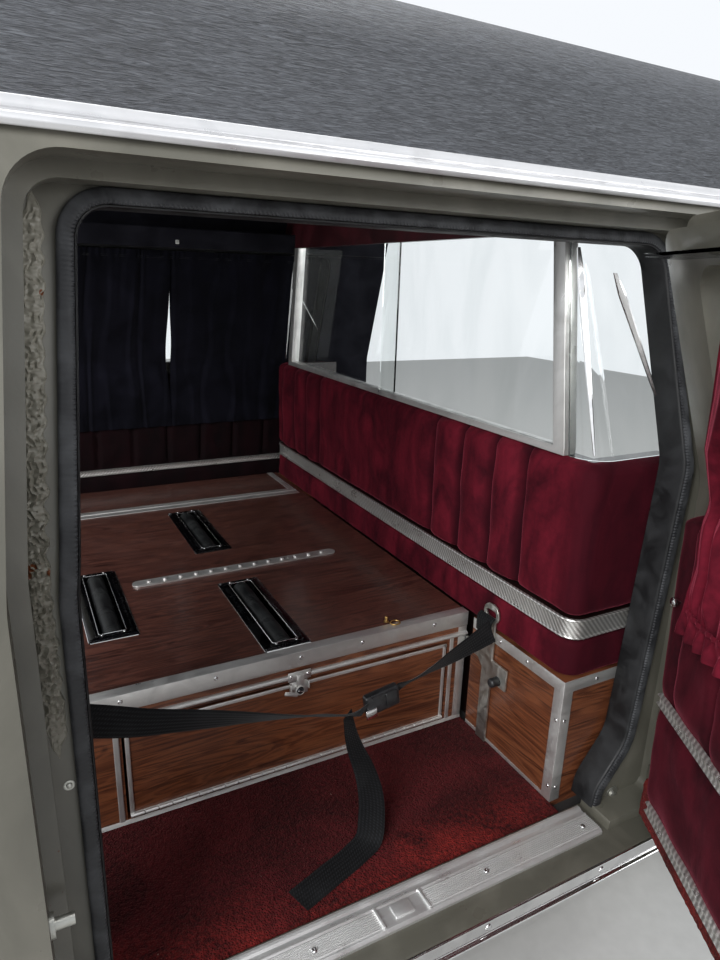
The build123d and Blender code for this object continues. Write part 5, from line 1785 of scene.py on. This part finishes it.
    def lip_grid(self, mesher: Mesher) -> None:
        """The seal's lip, which wraps inwards over the aperture's edge.

        Formula: a thin section lying along the edge is carried round the aperture's line.

        Args:
            mesher: Takes the lip.
        """
        line = rounded(APERTURE, step=0.004)
        line = line[line[:, 1] > 0.164]
        outward = normals_of(line)
        section = pairs(-0.0003, 0.0070, -0.0020, 0.0062, -0.0030, 0.0020, -0.0026, -0.0160,
                        -0.0028, -0.0300, -0.0022, -0.0470, -0.0003, -0.0480)
        flat = line[:, None] + outward[:, None] * section[None, :, :1]
        depth = np.broadcast_to(section[None, :, 1], flat.shape[:2])
        mesher.solid(self.side.fixed(flat[..., 0], flat[..., 1], self.seal_face, depth))

    def tread_plate(self) -> None:
        """The ribbed plate with its inner ridge, smooth bands, badge between two cross bars, and screws.

        Formula: the section's height over its width is read from TREAD_SECTION by interpolation; between
        the ribs' limits it gains the upper part of a sine, except beside the badge.
        """
        start, end = self.ribs
        places, levels = TREAD_SECTION.T
        across = np.concatenate([places, np.linspace(start, end, 111), np.linspace(0, 0.068, 60)])
        across = np.unique(across)
        height = np.interp(across, places, levels)
        wave = np.sin((across - start) / (end - start) * 2 * np.pi * self.rib_count)
        wave = np.clip(wave, -0.2, 1) + 0.2
        ribs = 0.0017 * wave * (across > start) * (across < end)
        first, last = self.badge
        x = np.concatenate([np.linspace(self.tread[0], first - 0.006, 8), np.linspace(first, last, 8),
                            np.linspace(last + 0.006, self.tread[1], 8)])
        plain = ((x > first - 0.003) & (x < last + 0.003)).astype(float)
        z = self.tread_foot + height[None] + ribs[None] * (1 - plain[:, None])
        out = np.broadcast_to(self.tread_in + across, z.shape)
        top = np.stack([np.broadcast_to(x[:, None], z.shape), self.side.sign * out, z], -1)
        foot = top[:, ::-1].copy()
        foot[..., 2] = self.tread_foot
        mesher = Mesher().solid(np.concatenate([top, foot[:, 1:-1]], 1))
        name, sign = f"tread_plate_{self.side.name}", self.side.sign
        y = sign * self.badge_out
        for x_bar in (first - 0.002, last + 0.002):
            mesher.solid(block((x_bar, y, 0.1620), (0.0055, 0.040, 0.005), 0.0016))
        mesher.solid(block(((first + last) / 2, y, 0.1612), (0.036, 0.024, 0.0046), 0.0016))
        mesher.build(name, "root", RIBBED, "ribbed_aluminium", ("tread_plates",), 30)
        spots = [(screw_x, sign * 0.8525, 0.1628) for screw_x in self.tread_screws]
        build_screws(f"tread_screws_{self.side.name}", "root", screw_heads(spots, (0, 0, 1), 0.0050))


def build_seals() -> None:
    """Both doorways' seal bulbs as one piece, and their lips as another."""
    bulbs, lips = Mesher(), Mesher()
    for side in SIDES:
        Doorway(side).seal_grid(bulbs)
        Doorway(side).lip_grid(lips)
    bulbs.build("door_seal_bulbs", "root", SEAL, "seal_rubber", ("door_seals",), 60)
    lips.build("door_seal_lips", "root", SEAL_LIP, "seal_rubber", (), 60)


def build_mouldings() -> None:
    """Rocker and drip mouldings: profiles carried along the body's whole length."""
    ends = np.linspace(-0.82, 0.66, 3)
    rocker = rounded((
        (0.0003, 0.150, 0), (0.0043, 0.150, 0.002), (0.0043, 0.126, 0.003), (0.0028, 0.122, 0.002),
        (0.0095, 0.1205, 0.004), (0.0103, 0.115, 0.004), (0.0060, 0.1105, 0.004), (0.0003, 0.113, 0),
    ), step=0.0008)
    drip = rounded((
        (0.0, 0.0, 0), (0.009, -0.002, 0.002), (0.0115, 0.004, 0.004), (0.010, 0.010, 0.004),
        (0.004, 0.0125, 0.001), (0.0062, 0.0145, 0.001), (0.0015, 0.026, 0.001), (-0.017, 0.026, 0),
    ), step=0.0009)
    roof_z = 1.275
    roof_foot = 0.94 - SIDES[0].lean * (roof_z - SIDES[0].belt) + 0.0003
    for name, profile, out, base, finish in (("rocker_mouldings", rocker, 0.920, 0.0, CHROME),
                                             ("drip_mouldings", drip, roof_foot, roof_z, DRIP_METAL)):
        mesher = Mesher()
        for side in SIDES:
            path = np.stack([ends, np.full(3, side.sign * out), np.full(3, base)], 1)
            mesher.solid(carried(profile, path, side.sign * ACROSS, UP))
        mesher.build(f"{name}.section", "root", finish, "polished_trim", (name,), 25)


# Deck and riser


@dataclass(frozen=True)
class Deck:
    """The deck's and the riser's fittings: angles, rails, hatch frame, latch, rollers, screws and pin."""

    riser_y: float = -0.460
    edge_z: float = 0.417
    screw_xs: tuple[float, ...] = (-0.790, -0.655, -0.482, -0.309, -0.135, 0.005, 0.186)
    hatch: tuple[float, float, float, float] = (-0.480, 0.222, 0.165, 0.360)
    units: tuple[tuple[str, float, float], ...] = (
        ("near", -0.150, -0.265), ("far", -0.150, 0.280), ("rear", -0.460, -0.087),
    )
    drum_radius: float = 0.021
    drum_z: float = 0.416
    collars: tuple[float, ...] = (-0.0487, 0.0487)
    rings: tuple[float, ...] = (-0.1330, -0.1250, -0.0640, -0.0334, 0.0334, 0.0640, 0.1250, 0.1330)
    lips: tuple[tuple[float, ...], ...] = ((0.0545, 0.3005, 0.4343, 0.0012), (0.0985, 0.3385, 0.4290, 0.0010))
    box_rear: float = 0.2778
    box_side: float = 0.7672

    def build(self) -> None:
        """Builds every fitting."""
        softened("deck_trims", 0.0007, SATIN)
        softened("deck_lid_trims", 0.0006, SATIN)
        softened("box_edging", 0.0007, SATIN)
        self.strips()
        self.hatch_frame()
        self.rollers()
        self.screws()
        self.pin()

    def bar(self, mesher: Mesher, start: Sequence[float], end: Sequence[float], profile: Points) -> None:
        """A straight bar that stands out from the riser.

        Args:
            mesher: Takes the bar.
            start: Its start.
            end: Its end.
            profile: Its section, the first coordinate across and the second outwards.
        """
        path = np.array([start, end], float)
        across = np.cross(-ACROSS, unit(path[1] - path[0]))
        mesher.solid(carried(profile, path, across, -ACROSS))

    def strips(self) -> None:
        """The rail over the hatch, the uprights beside it and the ribbed strip along the floor's edge."""
        y = self.riser_y
        turn = np.linspace(0, np.pi, 14)
        half_round = np.stack([0.0055 * np.cos(turn), 0.0075 * np.sin(turn)], 1)
        flat = pairs(0.005, 0.0003, 0.005, 0.0018, 0.0038, 0.0026, -0.0038, 0.0026, -0.005, 0.0018,
                     -0.005, 0.0003)
        share = np.linspace(-1, 1, 31)
        ribbed = np.stack([0.0045 * share, 0.0022 + 0.0011 * np.cos(share * 3 * np.pi)], 1)
        ribbed = np.concatenate([[[-0.0045, 0.0002]], ribbed, [[0.0045, 0.0002]]])
        mesher = Mesher()
        self.bar(mesher, (-0.500, y, 0.377), (0.276, y, 0.377), half_round)
        for x, high, wide in ((0.237, 0.382, 1), (-0.495, 0.382, 1), (0.265, 0.395, 2.2)):
            self.bar(mesher, (x, y, 0.159), (x, y, high), flat * (wide, 1))
        self.bar(mesher, (-0.820, y, 0.1545), (0.276, y, 0.1545), ribbed)
        mesher.build("riser_rails", "root", SATIN, "satin_aluminium", ("riser_trims",), 30)

    def hatch_frame(self) -> None:
        """The hatch's edge frame, the knuckles of its hinge and the draw latch."""
        rear, front, low, high = self.hatch
        y = self.riser_y - 0.0003
        edge = pairs(0.004, 0, 0.0038, 0.0016, 0.0024, 0.0028, -0.0024, 0.0028, -0.0038, 0.0016, -0.004, 0)
        mesher = Mesher()
        for z in (low + 0.004, high - 0.004):
            self.bar(mesher, (rear, y, z), (front, y, z), edge)
        for x in (rear + 0.004, front - 0.004):
            self.bar(mesher, (x, y, low), (x, y, high), edge)
        shape = pairs(0, 0, 0.0034, 0.0004, 0.0040, 0.0012, 0.0040, 0.0244, 0.0034, 0.0252, 0, 0.0256)
        for x in np.arange(0, front - rear - 1e-6, 0.026):
            mesher.solid(turned(shape, (rear + x, self.riser_y - 0.004, low + 0.004), ALONG, 12))
        mesher.build("hatch_frame", "hatch", SATIN, "satin_aluminium", ("hatch_trim",), 30)
        self.latch(-0.140, high, y)

    def latch(self, x: float, z: float, y: float) -> None:
        """The draw latch: a hooked plate with two screws over a turning knob in its ring, with a lever.

        Args:
            x: Its place along the hatch.
            z: The hatch's upper edge.
            y: The hatch's face.
        """
        plate = Mesher()
        plate.solid(block((x, y - 0.0062, z + 0.020), (0.050, 0.0032, 0.020), 0.0014))
        plate.solid(block((x + 0.001, y - 0.0092, z + 0.010), (0.017, 0.0034, 0.026), 0.0016))
        plate.solid(block((x, y - 0.0016, z - 0.010), (0.040, 0.0034, 0.030), 0.0016))
        for end in (-1, 1):
            plate.solid(block((x + end * 0.019, y - 0.0080, z - 0.004), (0.0042, 0.009, 0.017), 0.002))
        lever = np.array([[0.94, 0, -0.34], [0, 1.0, 0], [0.34, 0, 0.94]])
        plate.solid(block((x - 0.020, y - 0.0125, z - 0.0150), (0.030, 0.0040, 0.0085), 0.0019, lever))
        ring = pairs(0.0078, 0.002, 0.0078, 0.0112, 0.0090, 0.0126, 0.0106, 0.0120, 0.0110, 0.0100, 0.0110, 0)
        seat = (x, y, z - 0.012)
        plate.grid(turned(ring, seat, -ACROSS, 28), around=True)
        plate.build("hatch_latch", "hatch", SATIN_UPRIGHT, "polished_trim")
        knob = pairs(0.0074, 0.002, 0.0072, 0.0122, 0.0062, 0.0142, 0.0040, 0.0150, 0, 0.0148)
        Mesher().solid(turned(knob, seat, -ACROSS, 24)).build(
            "latch_knob", "hatch", DARK_METAL, "polished_trim")
        bar = block((x, y - 0.0150, z - 0.012), (0.0125, 0.0030, 0.0030), 0.0012, lever)
        Mesher().solid(bar).build("latch_knob_bar", "hatch", CHROME, "polished_trim")
        heads = [(x + dx, y - 0.0075, z + 0.021) for dx in (-0.018, 0.018)]
        build_screws("latch_screws", "hatch", screw_heads(heads, (0, -1, 0)))

    def lip(self, mesher: Mesher, x: float, y: float, form: Sequence[float]) -> None:
        """A round bar carried round a rectangle with rounded corners.

        Args:
            mesher: Takes the bar.
            x: The rectangle's middle along the body.
            y: The rectangle's middle across the body.
            form: The rectangle's width, length and height off the ground, and the bar's radius.
        """
        wide, long, z, radius = form
        turn = np.linspace(0, 2 * np.pi, 12, endpoint=False)
        section = radius * np.stack([np.cos(turn), np.sin(turn)], 1)
        signs = ((-1, -1), (1, -1), (1, 1), (-1, 1))
        corners = [(x + i * wide / 2, y + j * long / 2, 0.003) for i, j in signs]
        line = rounded(corners, closed=True, step=0.003)[:-1]
        outward = np.column_stack([normals_of(line), np.zeros(len(line))])
        path = np.column_stack([line, np.full(len(line), z)])
        mesher.grid(carried(section, path, outward, UP), around=True, along=True)

    def rollers(self) -> None:
        """Trays with bright lips and screwed ends, and smooth drums with fine rings.

        Formula: a drum's radius over its length is the full radius, less a smooth box at each collar and
        a narrow bell at each ring.
        """
        lips, ends, heads = Mesher(), Mesher(), []
        near_collars = [collar + np.linspace(-0.012, 0.012, 50) for collar in self.collars]
        along = np.unique(np.concatenate([np.linspace(-0.146, 0.146, 200), *near_collars]))
        radius = np.full_like(along, self.drum_radius)
        for collar in self.collars:
            radius -= 0.0012 / (1 + np.exp((np.abs(along - collar) - 0.005) / 0.0004))
        for ring in self.rings:
            radius -= 0.0009 * bell(along - ring, 0.0007)
        radius *= np.clip((0.1465 - np.abs(along)) / 0.0015, 0.86, 1) ** 0.5
        stub = pairs(0.015, 0.1463, 0.004, 0.1466, 0.004, 0.166)
        profile = np.concatenate([stub[::-1] * (1, -1), np.stack([radius, along], 1), stub])
        bevel = pairs(-0.0022, 0.4287, -0.0002, 0.4312, 0.0062, 0.4338, 0.0064, 0.4287)
        for name, x, y in self.units:
            drum = Mesher().solid(turned(profile, (x, y, self.drum_z), ACROSS, 40))
            drum.build(f"drum_{name}.ringed", f"drum_{name}", DRUM_RUBBER, "roller_rubber",
                       (f"roller_drum_{name}",), 35)
            for form in self.lips:
                self.lip(lips, x, y, form)
            for end in (-1, 1):
                ends.solid(block((x, y + end * 0.1562, 0.4345), (0.070, 0.0085, 0.0016), 0.0007))
                spots = [(x + i * 0.022, y + end * 0.1562, 0.4356) for i in (-1, 1)]
                heads.append(screw_heads(spots, (0, 0, 1), 0.0030))
                path = np.array([[x - 0.047, y + end * 0.1698, 0], [x + 0.047, y + end * 0.1698, 0]])
                lips.solid(carried(bevel, path, -end * ACROSS, UP))
        softened("roller_trays", 0.0006, TRAY_STEEL)
        lips.build("roller_lips", "root", CHROME, "satin_aluminium", (), 30)
        ends.build("roller_end_strips", "root", TRAY_STEEL, "roller_steel", (), 30)
        build_screws("roller_screws", "root", *heads)

    def screws(self) -> None:
        """Dome screws along the edge angle and on the boxes' edging."""
        spots = [(x, self.riser_y - 0.0022, self.edge_z) for x in self.screw_xs]
        heads = [screw_heads(spots, (0, -1, 0), 0.0048)]
        rear = ((0.662, 0.413), (0.577, 0.413), (0.757, 0.337), (0.757, 0.183), (0.500, 0.413))
        near = ((0.363, 0.413), (0.290, 0.337), (0.290, 0.183))
        spots = [(self.box_rear, sign * y, z) for sign in (-1, 1) for y, z in rear]
        heads.append(screw_heads(spots, (-1, 0, 0), 0.004))
        for sign in (-1, 1):
            spots = [(x, sign * self.box_side, z) for x, z in near]
            heads.append(screw_heads(spots, (0, sign, 0), 0.004))
        build_screws("trim_screws", "root", *heads)

    def pin(self) -> None:
        """The brass pin with its ring, lying on the deck."""
        profile = pairs(0, 0, 0.006, 0.0002, 0.0066, 0.0015, 0.0045, 0.003, 0.0035, 0.008, 0.0042, 0.011,
                        0.0030, 0.0135, 0, 0.014)
        mesher = Mesher().solid(turned(profile, (0.081, -0.427, 0.4303), UP, 18))
        turn = np.linspace(0, 2 * np.pi, 40, endpoint=False)
        core = np.stack([0.096 + 0.011 * np.cos(turn), -0.440 + 0.009 * np.sin(turn), np.full(40, 0.4302)], 1)
        out = np.stack([np.cos(turn), np.sin(turn), 0 * turn], 1)
        small = circle(10)
        section = 0.0018 * np.stack([np.cos(small), np.sin(small) + 1], 1)
        mesher.grid(carried(section, core, out, UP), around=True, along=True)
        mesher.build("brass_pin", "root", BRASS, "satin_aluminium")


# Belt


@dataclass(frozen=True)
class Belt:
    """The lap belt: twisted webbing, its buckle with a bright tongue, and the slotted bracket."""

    wide: float = 0.050
    thick: float = 0.0028
    knob: tuple[float, float, float] = (0.2720, -0.586, 0.323)
    lap: tuple[tuple[float, ...], ...] = (
        (-0.594, -0.716, 0.584, 90, -110), (-0.540, -0.700, 0.554, 88, -110),
        (-0.481, -0.682, 0.521, 80, -110), (-0.404, -0.663, 0.488, 68, -110),
        (-0.300, -0.638, 0.443, 52, -112), (-0.200, -0.621, 0.404, 38, -112),
        (-0.140, -0.612, 0.382, 32, -112), (-0.092, -0.606, 0.366, 42, -110),
        (-0.062, -0.602, 0.364, 60, -105),
    )
    short: tuple[tuple[float, ...], ...] = (
        (0.010, -0.592, 0.3800, 64, -100), (0.040, -0.588, 0.3850, 46, -100),
        (0.090, -0.584, 0.396, 52, -100), (0.145, -0.582, 0.412, 72, -98),
        (0.200, -0.580, 0.4285, 88, -95), (0.2530, -0.5745, 0.4430, 72, 90),
    )
    anchor: tuple[tuple[float, ...], ...] = (
        (0.2545, -0.546, 0.424, 0, 90), (0.2540, -0.546, 0.445, 0, 90), (0.2560, -0.546, 0.460, 0, 90),
        (0.2645, -0.546, 0.4655, 0, 90),
    )
    tail: tuple[tuple[float, ...], ...] = (
        (-0.100, -0.604, 0.366, 0, 46), (-0.099, -0.610, 0.344, 0, 44), (-0.098, -0.621, 0.324, 0, 41),
        (-0.096, -0.634, 0.307, 0, 36), (-0.090, -0.655, 0.280, 0, 22), (-0.085, -0.674, 0.240, 0, 0),
        (-0.087, -0.686, 0.192, 0, -24), (-0.098, -0.698, 0.160, 0, -44), (-0.134, -0.712, 0.1525, 0, -60),
        (-0.190, -0.731, 0.1525, 0, -69), (-0.262, -0.755, 0.1525, 0, -69),
    )

    def ribbon(self, mesher: Mesher, stations: Sequence[tuple[float, ...]]) -> None:
        """Webbing through stations.

        Formula: a cubic through the stations carries a thin rounded strip, whose width points up by the
        station's tilt and along its bearing, made square to the path.

        Args:
            mesher: Takes the webbing.
            stations: Place, tilt and bearing in each row, in metres and degrees.
        """
        table = np.array(stations)
        travel = travelled(table[:, :3])
        tilt, bearing = np.radians(table[:, 3]), np.radians(table[:, 4])
        ways = np.stack([np.cos(tilt) * np.cos(bearing), np.cos(tilt) * np.sin(bearing), np.sin(tilt)], 1)
        values = np.concatenate([table[:, :3], ways], 1)
        slopes = np.gradient(values, travel, axis=0)
        wanted = np.linspace(0, travel[-1], int(travel[-1] / 0.004))
        cell = np.clip(np.searchsorted(travel, wanted, "right") - 1, 0, len(travel) - 2)
        gap = (travel[cell + 1] - travel[cell])[:, None]
        t = (wanted - travel[cell])[:, None] / gap
        line = ((2 * t ** 3 - 3 * t ** 2 + 1) * values[cell] + (t ** 3 - 2 * t ** 2 + t) * gap * slopes[cell]
                + (3 * t ** 2 - 2 * t ** 3) * values[cell + 1] + (t ** 3 - t ** 2) * gap * slopes[cell + 1])
        path, width = line[:, :3], line[:, 3:]
        run = unit(np.gradient(path, axis=0))
        width = unit(width - run * (width * run).sum(1, keepdims=True))
        across = np.linspace(-0.5, 0.5, 13)
        lift = 0.5 * np.sqrt(np.clip(1 - (2 * across) ** 8, 0, 1))
        profile = np.concatenate([np.stack([across * self.wide, lift * self.thick], 1),
                                  np.stack([across[::-1] * self.wide, -lift[::-1] * self.thick], 1)[1:-1]])
        mesher.solid(carried(profile, path, width, np.cross(run, width)))

    def build(self) -> None:
        """Builds the webbing, the buckle and the bracket."""
        mesher = Mesher()
        for stations in (self.lap, self.short, self.anchor, self.tail):
            self.ribbon(mesher, stations)
        mesher.build("belt_straps", "root", WEBBING, "black_webbing", ("belt_webbing",), 60)
        along = np.array([1, 0, 0.16]) / math.hypot(1, 0.16)
        axes = np.stack([along, ACROSS, np.cross(along, ACROSS)])
        centre = np.array([-0.024, -0.597, 0.372])
        button = centre + along * 0.018 + (0, -0.0085, 0)
        tongue = centre - along * 0.026 + (0, -0.010, -0.014)
        buckle = Mesher().solid(block(centre, (0.074, 0.018, 0.044), 0.0055, axes, 24))
        buckle.solid(block(button, (0.026, 0.006, 0.034), 0.0026, axes, 24))
        buckle.build("buckle_case", "root", BUCKLE, "buckle_plastic", ("belt_buckle",))
        Mesher().solid(block(tongue, (0.024, 0.0035, 0.020), 0.0016, axes, 24)).build(
            "buckle_tongue", "root", CHROME, "polished_trim")
        softened("belt_bracket", 0.0009, ZINC)
        dome = pairs(0.0108, 0, 0.0098, 0.0080, 0.0104, 0.0160, 0.0088, 0.0198, 0.0050, 0.0218, 0, 0.0222)
        Mesher().solid(turned(dome, self.knob, -ALONG, 24)).build(
            "bracket_knob", "root", BLACK_KNOB, "buckle_plastic")


# Assembly


def main() -> None:
    """Builds the stage and every sub-assembly in order."""
    logging.basicConfig(level=logging.INFO, format="%(name)s %(message)s")
    view = bpy.context.scene.view_settings
    view.view_transform = "Standard"
    Stage().build()
    dress_nodes()
    Partition().build()
    DoorLining(SIDES[0], CURTAIN_VELVET, CARD_VELVET).build()
    # The left curtain reaches to 1.213, over the door frame's head, as a dark sheet that stands for the shade
    # there.
    DoorLining(SIDES[1], SHADED_NAVY, SHADED_VELVET, curtain=(0.632, 1.213), folds=15, depth=0.0050,
               frill=False, slit=-0.10).build()
    for side in SIDES:
        Doorway(side).build()
    build_seals()
    build_mouldings()
    Deck().build()
    Belt().build()
    for node in ("side_frame_right", "side_frame_left", "door_shell_right", "door_shell_left"):
        softened(node, 0.003, ENAMEL)
    softened("sills", 0.003, ENAMEL)
    softened("divider_frame", 0.0012, SATIN_UPRIGHT)


if __name__ == "__main__":
    main()
